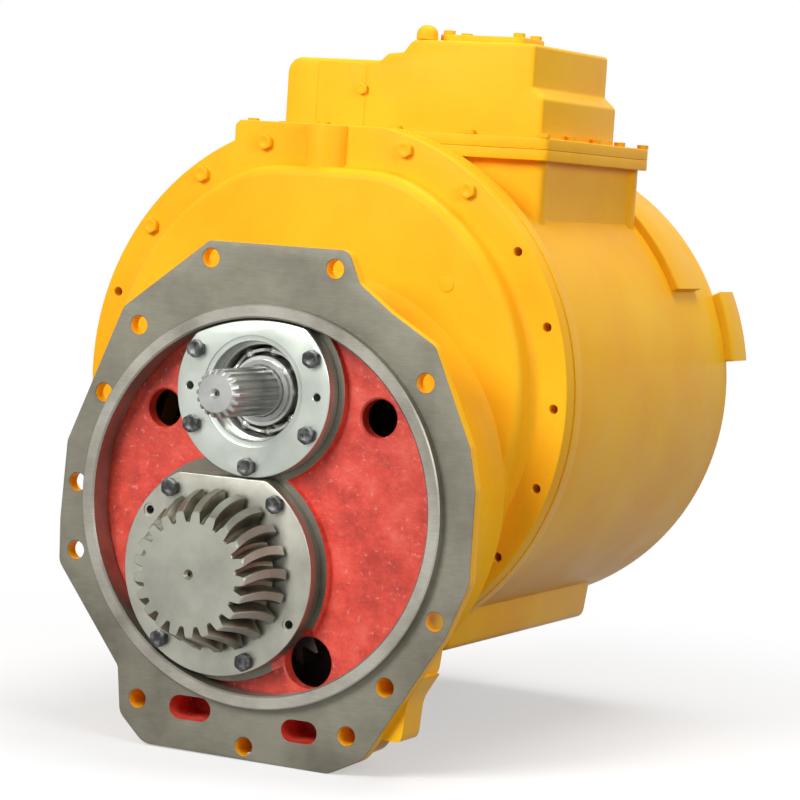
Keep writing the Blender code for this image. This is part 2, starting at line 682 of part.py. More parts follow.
join(main_case, sump_block)
CREST_FLOOR = CHAMBER_TOP - 5
crest_reach = math.sqrt(BARREL_R ** 2 - (CREST_FLOOR - INPUT_Z) ** 2) + 9
cut(main_case, lambda bm: box(bm, INPUT_X - crest_reach, INPUT_X + crest_reach, CHAMBER_FLANGE[2] - 1,
                              CHAMBER_FLANGE[3] + 1, CREST_FLOOR, INPUT_Z + BARREL_R + 5))
join(main_case, lambda bm: pillar(bm, chamber_outline(), INPUT_Z + BARREL_R / 2, CHAMBER_TOP - 2))
join(main_case,
    lambda bm: pillar(bm, rounded(rectangle(*CHAMBER_FLANGE), 10), CHAMBER_TOP - CHAMBER_FLANGE_THICK,
                      CHAMBER_TOP))
join(main_case,
    lambda bm: arc_band(bm, BARREL_R - 6, BARREL_R + OIL_BAND[4], OIL_BAND[2], OIL_BAND[3], OIL_BAND[0],
                        OIL_BAND[1]))
join(main_case,
    lambda bm: arc_band(bm, BARREL_R - 22, BARREL_R + REAR_LUG[4], REAR_LUG[2], REAR_LUG[3], REAR_LUG[0],
                        REAR_LUG[1]))
cut(main_case, lambda bm: lathe(bm, (
    (0, MAIN_FRONT - 5), (BARREL_R - BARREL_WALL, MAIN_FRONT - 5),
    (BARREL_R - BARREL_WALL, BARREL_REAR - REAR_WALL),
    (0, BARREL_REAR - REAR_WALL)), INPUT_X, INPUT_Z, 32))


def case_cavities(bm):
    """Sump hollow and valve chamber, both open to the barrel."""
    x0, x1, z0, y0, y1 = SUMP
    box(bm, x0 + 34, x1 - 34, y0 + 14, y1 - 14, z0 + 12, INPUT_Z - BARREL_R + 62)
    cx0, cx1, cy0, cy1 = CHAMBER
    box(bm, cx0 + CHAMBER_WALL, cx1 - CHAMBER_WALL, cy0 + CHAMBER_WALL, cy1 - CHAMBER_WALL,
        INPUT_Z + BARREL_R - 77,
        CHAMBER_TOP - CHAMBER_FLANGE_THICK - 2)


def case_openings(bm):
    prism(bm, circle(24, bore(24, REAR_BORE_R), INPUT_X, INPUT_Z), BARREL_REAR - REAR_WALL - 5,
          BARREL_REAR + 5)
    for x, z in rear_cover_bolt_places():
        prism(bm, circle(6, bore(6, COVER_BOLT[0] + SEAT_GAP), x, z), BARREL_REAR - REAR_WALL - 5,
              BARREL_REAR + 5)


def rear_cover_bolt_places():
    return [polar(REAR_BOLT_R, 60 * k, INPUT_X, INPUT_Z) for k in range(6)]


cut(main_case, case_cavities)
cut(main_case, case_openings)
cut(main_case, ring_holes(RING_BOLTED, MAIN_FRONT - 5, MAIN_FRONT + CASE_FLANGE_THICK + 1))


def cover_bolt_rim(inset):
    """Bolt places round the rim of the valve chamber flange."""
    x0, x1, y0, y1 = CHAMBER_FLANGE
    x0, x1, y0, y1 = x0 + inset, x1 - inset, y0 + inset, y1 - inset
    across = [x0 + (x1 - x0) * k / 4 for k in range(5)]
    along = [y0 + (y1 - y0) * k / 4 for k in range(1, 4)]
    return [(x, y) for y in (y0, y1) for x in across] + [(x, y) for x in (x0, x1) for y in along]


def rim_holes(bm):
    for x, y in cover_bolt_rim(RIM_INSET):
        pillar(bm, circle(6, bore(6, RIM_BOLT[0] + SEAT_GAP), x, y),
               CHAMBER_TOP - CHAMBER_FLANGE_THICK - 5, CHAMBER_TOP + COVER_FLANGE_THICK + 5)


cut(main_case, rim_holes)


# Covers over the shafts
def trimmed_circle(n, r, cx, cz, top=None):
    """Round cover, cut back where it would meet the pilot bore, with a flat on top when given."""
    points = []
    for x, z in circle(n, r, cx, cz):
        scale = min(1.0, COVER_TRIM_R / math.hypot(x, z))
        x, z = x * scale, z * scale
        points.append((x, min(z, cz + top)) if top else (x, z))
    return points


COVER_BACK = COVER_SEAT - SEAT_GAP
input_cover = shape('input_bearing_cover', lambda bm: tube(
    bm, trimmed_circle(36, INPUT_COVER_R, INPUT_X, INPUT_Z),
    circle(24, INPUT_COVER_OPENING_R, INPUT_X, INPUT_Z),
    INPUT_COVER_FRONT, COVER_BACK), STEEL)
cut(input_cover, lambda bm: prism(bm, circle(24, INPUT_COVER_OPENING_R + 7, INPUT_X, INPUT_Z),
                                  INPUT_COVER_FRONT - 5, INPUT_COVER_FRONT + 2))


def input_cover_holes(bm):
    for x, z in input_cover_bolt_places():
        prism(bm, circle(6, bore(6, COVER_BOLT[0] + SEAT_GAP), x, z), INPUT_COVER_FRONT - 5, COVER_SEAT + 5)
    for angle in JACK_HOLES_INPUT:
        x, z = polar(INPUT_COVER_BOLT_R - 4, angle, INPUT_X, INPUT_Z)
        prism(bm, circle(6, JACK_HOLE_R, x, z), INPUT_COVER_FRONT - 5, COVER_SEAT + 5)


cut(input_cover, input_cover_holes)

pinion_cage = shape('pinion_bearing_cage', lambda bm: prism(
    bm, trimmed_circle(40, PINION_CAGE_R, PINION_X, PINION_Z, PINION_CAGE_CHORD), PINION_CAGE_FRONT,
    COVER_BACK), STEEL)
join(pinion_cage,
     lambda bm: prism(bm, circle(24, CAGE_SPIGOT_R, PINION_X, PINION_Z), COVER_BACK - 3, CAGE_SPIGOT_END))


def pinion_cage_bores(bm):
    lathe(bm, ((0, PINION_CAGE_FRONT - 5), (CAGE_LIP_R, PINION_CAGE_FRONT - 5), (CAGE_LIP_R, CAGE_LIP_BACK),
               (bore(24, CAGE_BORE_R), CAGE_LIP_BACK), (bore(24, CAGE_BORE_R), CAGE_SPIGOT_END + 5),
               (0, CAGE_SPIGOT_END + 5)), PINION_X, PINION_Z, 24)


def pinion_cage_holes(bm):
    for x, z in pinion_cage_bolt_places():
        prism(bm, circle(6, bore(6, COVER_BOLT[0] + SEAT_GAP), x, z), PINION_CAGE_FRONT - 5, COVER_SEAT + 5)
    for angle in JACK_HOLES_PINION:
        x, z = polar(PINION_CAGE_BOLT_R, angle, PINION_X, PINION_Z)
        prism(bm, circle(6, JACK_HOLE_R, x, z), PINION_CAGE_FRONT - 5, COVER_SEAT + 5)


cut(pinion_cage, pinion_cage_bores)
cut(pinion_cage, pinion_cage_holes)


def loose_bolts(name, places, direction, size, length, look):
    """A bolt of its own at each place, a seat point under the head."""
    for number, place in enumerate(places, 1):
        shape(f'{name}_{number}', lambda bm: hex_bolt(bm, place, direction, *size, length), look, place)


def fit_bolts(obj, places, direction, size, length):
    """Bolts that stay in the piece they fasten, bedded by BOLT_BED under their heads."""
    direction = Vector(direction)

    def fill(bm):
        for place in places:
            hex_bolt(bm, Vector(place) + direction * BOLT_BED, direction, *size, length, chamfer=0)
    join(obj, fill)


INTO = (0, 1, 0)
loose_bolts('input_cover_bolt',
            [(x, INPUT_COVER_FRONT - SEAT_GAP, z) for x, z in input_cover_bolt_places()], INTO,
            COVER_BOLT, COVER_SEAT + COVER_THREAD - INPUT_COVER_FRONT, DARK_STEEL)
loose_bolts('pinion_cage_bolt',
            [(x, PINION_CAGE_FRONT - SEAT_GAP, z) for x, z in pinion_cage_bolt_places()], INTO,
            COVER_BOLT, COVER_SEAT + COVER_THREAD - PINION_CAGE_FRONT, DARK_STEEL)
fit_bolts(front_case, [(x, RING_FRONT, z) for x, z in ring_places(RING_BOLTED)], INTO,
          RING_BOLT, RING_THICK + CASE_FLANGE_THICK - 2)

# Rear cover and the bearing that it carries
rear_cover = shape('rear_cover', lambda bm: lathe(bm, (
    (0, BARREL_REAR + REAR_COVER_THICK + SEAT_GAP),
    (REAR_COVER_R - 3, BARREL_REAR + REAR_COVER_THICK + SEAT_GAP),
    (REAR_COVER_R, BARREL_REAR + REAR_COVER_THICK - 3), (REAR_COVER_R, BARREL_REAR + SEAT_GAP),
    (REAR_BORE_R - SEAT_GAP, BARREL_REAR + SEAT_GAP), (REAR_BORE_R - SEAT_GAP, BARREL_REAR - REAR_WALL - 6),
    (REAR_BEARING_R + SEAT_GAP, BARREL_REAR - REAR_WALL - 6),
    (REAR_BEARING_R + SEAT_GAP, BARREL_REAR + SEAT_GAP),
    (0, BARREL_REAR + SEAT_GAP)), INPUT_X, INPUT_Z, 24, hole_from=6), CAST_YELLOW)


fit_bolts(rear_cover,
          [(x, BARREL_REAR + REAR_COVER_THICK + SEAT_GAP, z) for x, z in rear_cover_bolt_places()],
          (0, -1, 0), COVER_BOLT, REAR_COVER_THICK + REAR_WALL)
shape('input_rear_bearing', lambda bm: ring(
    bm, SHAFT_R + SEAT_GAP, REAR_BEARING_R, BARREL_REAR - REAR_WALL - 4, BARREL_REAR - 2, INPUT_X, INPUT_Z,
    24), STEEL)


# Input shaft, its bearing and seal
def spline_outline(root_r, tip_r, teeth, cx, cz):
    points = []
    for k in range(teeth):
        middle = 2 * math.pi * k / teeth
        half = math.pi / teeth
        for r, a in ((root_r, -0.62), (tip_r, -0.36), (tip_r, 0.36), (root_r, 0.62)):
            points.append((cx + r * math.cos(middle + a * half), cz + r * math.sin(middle + a * half)))
    return points


def spline_part(bm):
    teeth = spline_outline(SPLINE_ROOT_R, SPLINE_R, SPLINE_TEETH, INPUT_X, INPUT_Z)
    small = [(INPUT_X + (x - INPUT_X) * 0.84, INPUT_Z + (z - INPUT_Z) * 0.84) for x, z in teeth]
    loft(bm, ((INPUT_FRONT, small), (INPUT_FRONT + 5, teeth), (SPLINE_END, teeth)))


input_shaft = shape('input_shaft', spline_part, STEEL, INPUT_AXIS)
join(input_shaft, lambda bm: lathe(bm, (
    (0, SPLINE_END - 3), (INPUT_BEARING[0] - SEAT_GAP, SPLINE_END - 3),
    (INPUT_BEARING[0] - SEAT_GAP, INPUT_BEARING_BACK + 2),
    (SHAFT_R, INPUT_BEARING_BACK + 6), (SHAFT_R, BARREL_REAR - 3), (0, BARREL_REAR - 3)), INPUT_X, INPUT_Z,
    24))
cut(input_shaft, lambda bm: prism(bm, circle(12, 4, INPUT_X, INPUT_Z), INPUT_FRONT - 5, INPUT_FRONT + 10))

bearing_bore, inner_land, outer_land, bearing_out, bearing_width = INPUT_BEARING
ball_orbit = (inner_land + outer_land) / 2
ball_plane = INPUT_BEARING_FRONT + bearing_width / 2


def raceway(bm, back_r, land_r, n):
    """Bearing ring with a groove for the balls between its two lands."""
    depth = BALL_GROOVE if land_r > back_r else -BALL_GROOVE
    groove = BALL_R * 0.6
    profile = [(back_r, INPUT_BEARING_FRONT), (land_r, INPUT_BEARING_FRONT), (land_r, ball_plane - groove),
               (land_r - depth, ball_plane), (land_r, ball_plane + groove), (land_r, INPUT_BEARING_BACK),
               (back_r, INPUT_BEARING_BACK)]
    lathe(bm, profile, INPUT_X, INPUT_Z, n)


shape('input_bearing_inner_ring', lambda bm: raceway(bm, bore(24, bearing_bore), inner_land, 24), STEEL,
      INPUT_AXIS)
shape('input_bearing_outer_ring', lambda bm: raceway(bm, bearing_out, bore(24, outer_land), 24), STEEL)


def ball_places():
    return [polar(ball_orbit, 360 / BALL_COUNT * k, INPUT_X, INPUT_Z) for k in range(BALL_COUNT)]


def balls(bm):
    for x, z in ball_places():
        made = bmesh.ops.create_uvsphere(bm, u_segments=6, v_segments=4, radius=BALL_R)
        bmesh.ops.translate(bm, verts=made['verts'], vec=(x, ball_plane, z))


ball_cage = shape('input_bearing_ball_cage', lambda bm: ring(
    bm, ball_orbit - 2.2, ball_orbit + 2.2, ball_plane - BALL_R + 1.5, ball_plane + BALL_R - 1.5, INPUT_X,
    INPUT_Z, 18),
    STEEL, INPUT_AXIS)
join(ball_cage, balls)


shape('input_snap_ring', lambda bm: ring(
    bm, INPUT_BEARING[0], INPUT_BEARING[0] + 6, INPUT_BEARING_FRONT - 4, INPUT_BEARING_FRONT - SEAT_GAP,
    INPUT_X, INPUT_Z, 20),
    DARK_STEEL, INPUT_AXIS)


# Transfer gears
def spur_gear(name, teeth, module, first, axis, bore_r, y0, y1, sides):
    outline = gear_outline(teeth, module, first, axis[0], axis[2])
    shape(name, lambda bm: tube(bm, outline, circle(sides, bore(sides, bore_r), axis[0], axis[2]), y0, y1),
          GEAR_STEEL, axis)


toward_pinion = AXIS_LEAN
toward_input = AXIS_LEAN + math.pi
spur_gear('drive_gear', DRIVE_TEETH, TRANSFER_MODULE, toward_pinion, INPUT_AXIS, SLEEVE_OUT_R + SEAT_GAP,
          TRANSFER_GEAR_FRONT, GEAR_BACK, 24)
spur_gear('driven_gear', DRIVEN_TEETH, TRANSFER_MODULE, toward_input + math.pi / DRIVEN_TEETH, PINION_AXIS,
          PINION_SHAFT_R + SEAT_GAP, TRANSFER_GEAR_FRONT, GEAR_BACK, 20)

output_sleeve = shape('output_sleeve', lambda bm: lathe(bm, (
    (SLEEVE_OUT_R, TRANSFER_GEAR_FRONT - 12), (SLEEVE_OUT_R, GEAR_BACK + 0.6),
    (SLEEVE_OUT_R + 6, GEAR_BACK + 0.6),
    (SLEEVE_OUT_R + 6, GEAR_BACK + 10), (SLEEVE_OUT_R, GEAR_BACK + 10),
    (SLEEVE_OUT_R, SPEED_GEARS + PLANET_FACE),
    (SLEEVE_IN_R, SPEED_GEARS + PLANET_FACE), (SLEEVE_IN_R, TRANSFER_GEAR_FRONT - 12)), INPUT_X, INPUT_Z,
    24, hole_from=6),
    STEEL, INPUT_AXIS)


# Output pinion with its shaft
def bevel_section(t):
    """Tooth outline at t, from 0 at the toe to 1 at the heel."""
    tip = PINION_TOE_TIP_R + (PINION_HEEL_TIP_R - PINION_TOE_TIP_R) * t
    depth = PINION_TOE_DEPTH + (PINION_HEEL_DEPTH - PINION_TOE_DEPTH) * t
    turn = -(PINION_SPIRAL * t - PINION_SPIRAL_BACK * t * t)
    step = 2 * math.pi / PINION_TEETH
    points = []
    for k in range(PINION_TEETH):
        for r, a in ((tip - depth, -0.30), (tip, -0.13), (tip, 0.13), (tip - depth, 0.30)):
            angle = (k + a) * step - turn
            points.append((PINION_X + r * math.cos(angle), PINION_Z + r * math.sin(angle)))
    return points


def bevel_head(bm):
    length = PINION_HEEL - PINION_FRONT
    sections = [(PINION_FRONT + length * t, bevel_section(t)) for t in (0, 0.35, 0.7, 1.0)]
    back = [(PINION_X + (x - PINION_X) * 0.8, PINION_Z + (z - PINION_Z) * 0.8) for x, z in sections[-1][1]]
    loft(bm, sections + [(PINION_HEEL + 2.5, back)])


pinion_shaft = shape('pinion_shaft', bevel_head, GEAR_STEEL, PINION_AXIS)
join(pinion_shaft, lambda bm: lathe(bm, (
    (0, PINION_FRONT + 20), (PINION_HUB_R, PINION_FRONT + 20), (PINION_HUB_R, CAGE_LIP_BACK),
    (PINION_SHAFT_R, CAGE_LIP_BACK), (PINION_SHAFT_R, GEAR_BACK + 0.6), (PINION_TAIL_R + 5, GEAR_BACK + 0.6),
    (PINION_TAIL_R + 5, MAIN_FRONT - 4), (PINION_TAIL_R, MAIN_FRONT - 4), (PINION_TAIL_R, SUPPORT_BACK - 2),
    (0, SUPPORT_BACK - 2)), PINION_X, PINION_Z, 24))
cut(pinion_shaft,
    lambda bm: prism(bm, circle(12, 4, PINION_X, PINION_Z), PINION_FRONT - 5, PINION_FRONT + 10))

# Pinion bearings
cone_out = (PINION_SHAFT_R + CAGE_BORE_R) / 2 - 5.5
cup_in = (PINION_SHAFT_R + CAGE_BORE_R) / 2 + 5.5
cone = shape('pinion_bearing_cone', lambda bm: ring(
    bm, PINION_SHAFT_R + SEAT_GAP, cone_out, CAGE_LIP_BACK + SEAT_GAP, CAGE_SPIGOT_END, PINION_X, PINION_Z,
    24),
    STEEL, PINION_AXIS)
shape('pinion_bearing_cup', lambda bm: ring(
    bm, cup_in, CAGE_BORE_R - SEAT_GAP, CAGE_LIP_BACK + SEAT_GAP, CAGE_SPIGOT_END - 4, PINION_X, PINION_Z,
    24), STEEL)


def rollers(bm):
    """Rollers bedded a little into the cone that carries them, clear of the cup."""
    low, high = cone_out - 1.0, cup_in - SEAT_GAP
    for k in range(ROLLER_COUNT):
        x, z = polar((low + high) / 2, 360 / ROLLER_COUNT * k, PINION_X, PINION_Z)
        prism(bm, circle(6, (high - low) / 2, x, z, math.radians(360 / ROLLER_COUNT * k)), CAGE_LIP_BACK + 6,
              CAGE_SPIGOT_END - 8)


join(cone, rollers)
shape('pinion_spacer', lambda bm: ring(
    bm, PINION_SHAFT_R + SEAT_GAP, PINION_SHAFT_R + 8, CAGE_SPIGOT_END + SEAT_GAP,
    TRANSFER_GEAR_FRONT - SEAT_GAP,
    PINION_X, PINION_Z, 20), STEEL, PINION_AXIS)
shape('pinion_tail_bearing', lambda bm: ring(
    bm, PINION_TAIL_R + SEAT_GAP, TAIL_BEARING_R, MAIN_FRONT + 1, SUPPORT_BACK - 3, PINION_X, PINION_Z,
    20), STEEL)
shape('sleeve_bearing', lambda bm: ring(
    bm, SLEEVE_OUT_R + SEAT_GAP, SLEEVE_BEARING_R, MAIN_FRONT + 1, SUPPORT_BACK - 3, INPUT_X, INPUT_Z, 20),
    STEEL)

# Centre support and the two clutch housings, clamped by the tie bolts
support = shape('centre_support', lambda bm: prism(
    bm, circle(24, SUPPORT_R, INPUT_X, INPUT_Z), MAIN_FRONT, SUPPORT_BACK), CAST_YELLOW)


def support_bores(bm):
    for x, z, r in ((INPUT_X, INPUT_Z, SLEEVE_BEARING_R), (PINION_X, PINION_Z, TAIL_BEARING_R)):
        prism(bm, circle(20, bore(20, r + SEAT_GAP), x, z), MAIN_FRONT - 5, SUPPORT_BACK + 5)


cut(support, support_bores)
cut(support, tie_bolt_holes)


housings = {}


def planet_phase(planet_teeth):
    """A tooth of the top planet, which shows the sun's top tooth a space."""
    return 3 * math.pi / 2 + math.pi / planet_teeth


def ring_phase(planet_teeth):
    """A space of the ring gear, matched to the outermost tooth of the top planet."""
    behind = (math.pi / 2 - planet_phase(planet_teeth)) % (2 * math.pi / planet_teeth)
    return math.pi / 2 - behind * planet_teeth / (ORBIT_TEETH + planet_teeth)


def clutch_pack(name, start, gear_start, planet_teeth):
    """Housing, plates, discs, piston and the ring gear that this clutch holds."""
    web = start + HOUSING_LENGTH - HOUSING_WEB
    housing = shape(f'{name}_clutch_housing', lambda bm: lathe(bm, (
        (HOUSING_R, start), (HOUSING_R, start + HOUSING_LENGTH), (HOUSING_WEB_R, start + HOUSING_LENGTH),
        (HOUSING_WEB_R, web), (HOUSING_BORE_R, web), (HOUSING_BORE_R, start)), INPUT_X, INPUT_Z, 24,
        hole_from=2), GEAR_STEEL)
    housings[name] = housing
    y = start + SEAT_GAP
    for number, kind in enumerate(('disc', 'plate', 'disc'), 1):
        inner, outer, look = ((RING_GEAR_OUT_R + SEAT_GAP, HOUSING_BORE_R - 6, FRICTION) if kind == 'disc'
                              else (RING_GEAR_OUT_R + 6, HOUSING_BORE_R - RUNNING_GAP, STEEL))
        label = f'{name}_clutch_{kind}' + (f'_{(number + 1) // 2}' if kind == 'disc' else '')
        shape(label, lambda bm: ring(bm, inner, outer, y, y + DISC_THICK, INPUT_X, INPUT_Z, 16), look)
        y += DISC_THICK + SEAT_GAP
    shape(f'{name}_clutch_piston', lambda bm: ring(
        bm, HOUSING_WEB_R, HOUSING_BORE_R - RUNNING_GAP, y, web - PISTON_STROKE - SEAT_GAP,
        INPUT_X, INPUT_Z, 24), STEEL, INPUT_AXIS)
    spaces = gear_outline(ORBIT_TEETH + planet_teeth, PLANETARY_MODULE, ring_phase(planet_teeth), INPUT_X,
                          INPUT_Z, internal=True)
    shape(f'{name}_ring_gear', lambda bm: tube(
        bm, circle(24, RING_GEAR_OUT_R, INPUT_X, INPUT_Z), spaces, gear_start - 4,
        gear_start + PLANET_FACE + 4), GEAR_STEEL)


def planet_set(name, start, planet_teeth, sun_bore):
    first = math.pi / 2
    end = start + PLANET_FACE
    ring_teeth = ORBIT_TEETH + planet_teeth
    spur_gear(f'{name}_sun_gear', ORBIT_TEETH - planet_teeth, PLANETARY_MODULE, first, INPUT_AXIS,
              sun_bore, start, end, 20)
    for k in range(PLANETS):
        orbit = 2 * math.pi * k / PLANETS
        x, z = polar(PLANET_ORBIT, math.degrees(first + orbit), INPUT_X, INPUT_Z)
        rolled = planet_phase(planet_teeth) + orbit - orbit * ring_teeth / planet_teeth
        spur_gear(f'{name}_planet_{k + 1}', planet_teeth, PLANETARY_MODULE, rolled, (x, 0.0, z),
                  PLANET_PIN_R + RUNNING_GAP, start, end, 10)


planet_set('speed', SPEED_GEARS, SPEED_PLANET_TEETH, SLEEVE_OUT_R + SEAT_GAP)
planet_set('forward', FORWARD_GEARS, FORWARD_PLANET_TEETH, SHAFT_R + SEAT_GAP)
clutch_pack('speed', SPEED_HOUSING, SPEED_GEARS, SPEED_PLANET_TEETH)
clutch_pack('forward', FORWARD_HOUSING, FORWARD_GEARS, FORWARD_PLANET_TEETH)
cut(housings['speed'], tie_bolt_holes)


# Planet carrier shared by both sets
def pin_places():
    return [polar(PLANET_ORBIT, 90 + 360 / PLANETS * k, INPUT_X, INPUT_Z) for k in range(PLANETS)]


FRONT_PLATE = SPEED_GEARS - 1 - CARRIER_PLATE
MIDDLE_PLATE = SPEED_GEARS + PLANET_FACE + 1
REAR_PLATE = FORWARD_GEARS + PLANET_FACE + 1
carrier = shape('planet_carrier', lambda bm: ring(
    bm, SHAFT_R + RUNNING_GAP, CARRIER_R, MIDDLE_PLATE, FORWARD_GEARS - 1, INPUT_X, INPUT_Z, 18),
    GEAR_STEEL, INPUT_AXIS)
join(carrier,
     lambda bm: ring(bm, SLEEVE_OUT_R + RUNNING_GAP, CARRIER_R, FRONT_PLATE, FRONT_PLATE + CARRIER_PLATE,
                              INPUT_X, INPUT_Z, 18))
join(carrier, lambda bm: ring(bm, SHAFT_R + RUNNING_GAP, CARRIER_R, REAR_PLATE, REAR_PLATE + CARRIER_PLATE,
                              INPUT_X, INPUT_Z, 18))


def carrier_webs(bm):
    for k in range(PLANETS):
        middle = 150 + 360 / PLANETS * k
        angles = [middle + a for a in (-24, -8, 8, 24)]
        outline = ([polar(CARRIER_R - 2.5, a, INPUT_X, INPUT_Z) for a in angles]
                   + [polar(CARRIER_WEB_R, a, INPUT_X, INPUT_Z) for a in angles[::-1]])
        prism(bm, outline, FRONT_PLATE + 4, REAR_PLATE + 4)


def planet_pins(bm):
    for x, z in pin_places():
        prism(bm, circle(8, PLANET_PIN_R, x, z), FRONT_PLATE - 2, REAR_PLATE + CARRIER_PLATE + 2)


join(carrier, carrier_webs)
join(carrier, planet_pins)
fit_bolts(housings['forward'], [(x, STACK_END, z) for x, z in tie_bolt_places()], (0, -1, 0), TIE_BOLT,
          STACK_END - RING_BACK + TIE_THREAD)

# Control valve on top of the chamber
body_x0, body_x1, body_y0, body_y1, body_height = VALVE_BODY
body_bottom = CHAMBER_TOP + SEAT_GAP
valve_body = shape('valve_body', lambda bm: box(
    bm, body_x0, body_x1, body_y0, body_y1, body_bottom, body_bottom + body_height), GEAR_STEEL)
SPOOL_Z = body_bottom + body_height * 0.55
SPOOLS = (('direction_spool', body_y0 + 45), ('speed_spool', body_y1 - 45))


def along_x(bm, stations, y, z, n):
    """Solid turned about an X axis; stations are (x, radius)."""
    rings = [[bm.verts.new((x, y + r * math.cos(2 * math.pi * i / n), z + r * math.sin(2 * math.pi * i / n)))
              for i in range(n)] for x, r in stations]
    for a, b in zip(rings, rings[1:]):
        for i in range(n):
            j = (i + 1) % n
            bm.faces.new((a[i], a[j], b[j], b[i]))
    bm.faces.new(rings[0][::-1])
    bm.faces.new(rings[-1])


def spool_bores(bm):
    for _, y in SPOOLS:
        along_x(bm,
            ((body_x0 - 5, bore(12, SPOOL_R + SEAT_GAP)), (body_x1 + 5, bore(12, SPOOL_R + SEAT_GAP))), y,
            SPOOL_Z, 12)


cut(valve_body, spool_bores)
for spool_name, spool_y in SPOOLS:
    start = (body_x0 + body_x1) / 2 - SPOOL_LENGTH / 2
    stations = []
    for land in range(3):
        x = start + land * SPOOL_LENGTH / 3
        stations += [(x, SPOOL_R), (x + SPOOL_LENGTH / 5, SPOOL_R), (x + SPOOL_LENGTH / 5, SPOOL_R * 0.6),
                     (x + SPOOL_LENGTH / 3, SPOOL_R * 0.6)]
    shape(spool_name, lambda bm: along_x(bm, stations, spool_y, SPOOL_Z, 12), STEEL,
          ((body_x0 + body_x1) / 2, spool_y, SPOOL_Z))

# Valve cover: stepped box on a flange
cover_bottom = CHAMBER_TOP + SEAT_GAP


def valve_cover_outline(inset):
    return [(COVER_LEFT + inset, cover_bottom + 4), (COVER_RIGHT - inset, cover_bottom + 4),
            (COVER_RIGHT - inset, COVER_STEP_Z - 7 - inset),
            (COVER_UPPER_RIGHT - inset, COVER_STEP_Z + 6 - inset),
            (COVER_UPPER_RIGHT - inset, COVER_HIGH_TOP - 3 - inset),
            (COVER_UPPER_RIGHT - 4 - inset, COVER_HIGH_TOP - inset),
            (COVER_HIGH_LEFT + inset, COVER_HIGH_TOP - inset),
            (COVER_HIGH_LEFT - 12 + inset, COVER_LOW_TOP + 12 - inset),
            (COVER_HIGH_LEFT - 30 + inset, COVER_LOW_TOP + 8 - inset),
            (COVER_HIGH_LEFT - 42 + inset, COVER_LOW_TOP - inset),
            (COVER_LEFT + 17 + inset, COVER_LOW_TOP - inset),
            (COVER_LEFT + 5 + inset, COVER_LOW_TOP - 5 - inset),
            (COVER_LEFT + inset, COVER_LOW_TOP - 17 - inset)]


def cover_body(bm):
    full = valve_cover_outline(0)
    shrunk = valve_cover_outline(5)
    loft(bm, ((COVER_FRONT, shrunk), (COVER_FRONT + 5, full), (COVER_REAR - 5, full), (COVER_REAR, shrunk)))


valve_cover = shape('valve_cover', lambda bm: pillar(
    bm, rounded(rectangle(*CHAMBER_FLANGE), 10), cover_bottom,
    cover_bottom + COVER_FLANGE_THICK - SEAT_GAP), CAST_YELLOW)
join(valve_cover, cover_body)
cut(valve_cover,
    lambda bm: prism(bm,
                     [(x, z - 30 if z < cover_bottom + 5 else z) for x, z in valve_cover_outline(COVER_WALL)],
                                  COVER_FRONT + COVER_WALL, COVER_REAR - COVER_WALL))


def top_plate_bolt_places():
    x0, x1, y0, y1, _ = TOP_PLATE
    return [(x, y) for x in (x0 + 10, x1 - 10) for y in (y0 + 10, y1 - 10)]


def top_holes(bm):
    for x, y in top_plate_bolt_places():
        pillar(bm, circle(6, bore(6, RIM_BOLT[0] + SEAT_GAP), x, y), COVER_HIGH_TOP - COVER_WALL - 5,
               COVER_HIGH_TOP + TOP_PLATE[4] + 5)
    pillar(bm, circle(14, bore(14, BREATHER_STEM_R + SEAT_GAP), *BREATHER),
           COVER_HIGH_TOP - COVER_WALL - 5, COVER_HIGH_TOP + 5)


cut(valve_cover, top_holes)
top_plate = shape('top_plate', lambda bm: pillar(
    bm, rounded(rectangle(*TOP_PLATE[:4]), 8), COVER_HIGH_TOP + SEAT_GAP, COVER_HIGH_TOP + TOP_PLATE[4]),
    CAST_YELLOW)
DOWN = (0, 0, -1)
fit_bolts(top_plate, [(x, y, COVER_HIGH_TOP + TOP_PLATE[4]) for x, y in top_plate_bolt_places()], DOWN,
          RIM_BOLT, TOP_PLATE[4] + COVER_WALL - 1)
fit_bolts(valve_cover, [(x, y, CHAMBER_TOP + COVER_FLANGE_THICK) for x, y in cover_bolt_rim(RIM_INSET)], DOWN,
          RIM_BOLT, COVER_FLANGE_THICK + CHAMBER_FLANGE_THICK)


def breather(bm):
    base = COVER_HIGH_TOP + SEAT_GAP
    stack(bm, [(base + h, circle(14, r, *BREATHER)) for h, r in (
        (-COVER_WALL, BREATHER_STEM_R), (0, BREATHER_STEM_R), (0, BREATHER_R), (8, BREATHER_R),
        (14, BREATHER_R * 0.86), (18, BREATHER_R * 0.5))])


shape('breather', breather, CAST_YELLOW)
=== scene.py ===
import json
import math

import bmesh
import bpy
from mathutils import Matrix, Vector

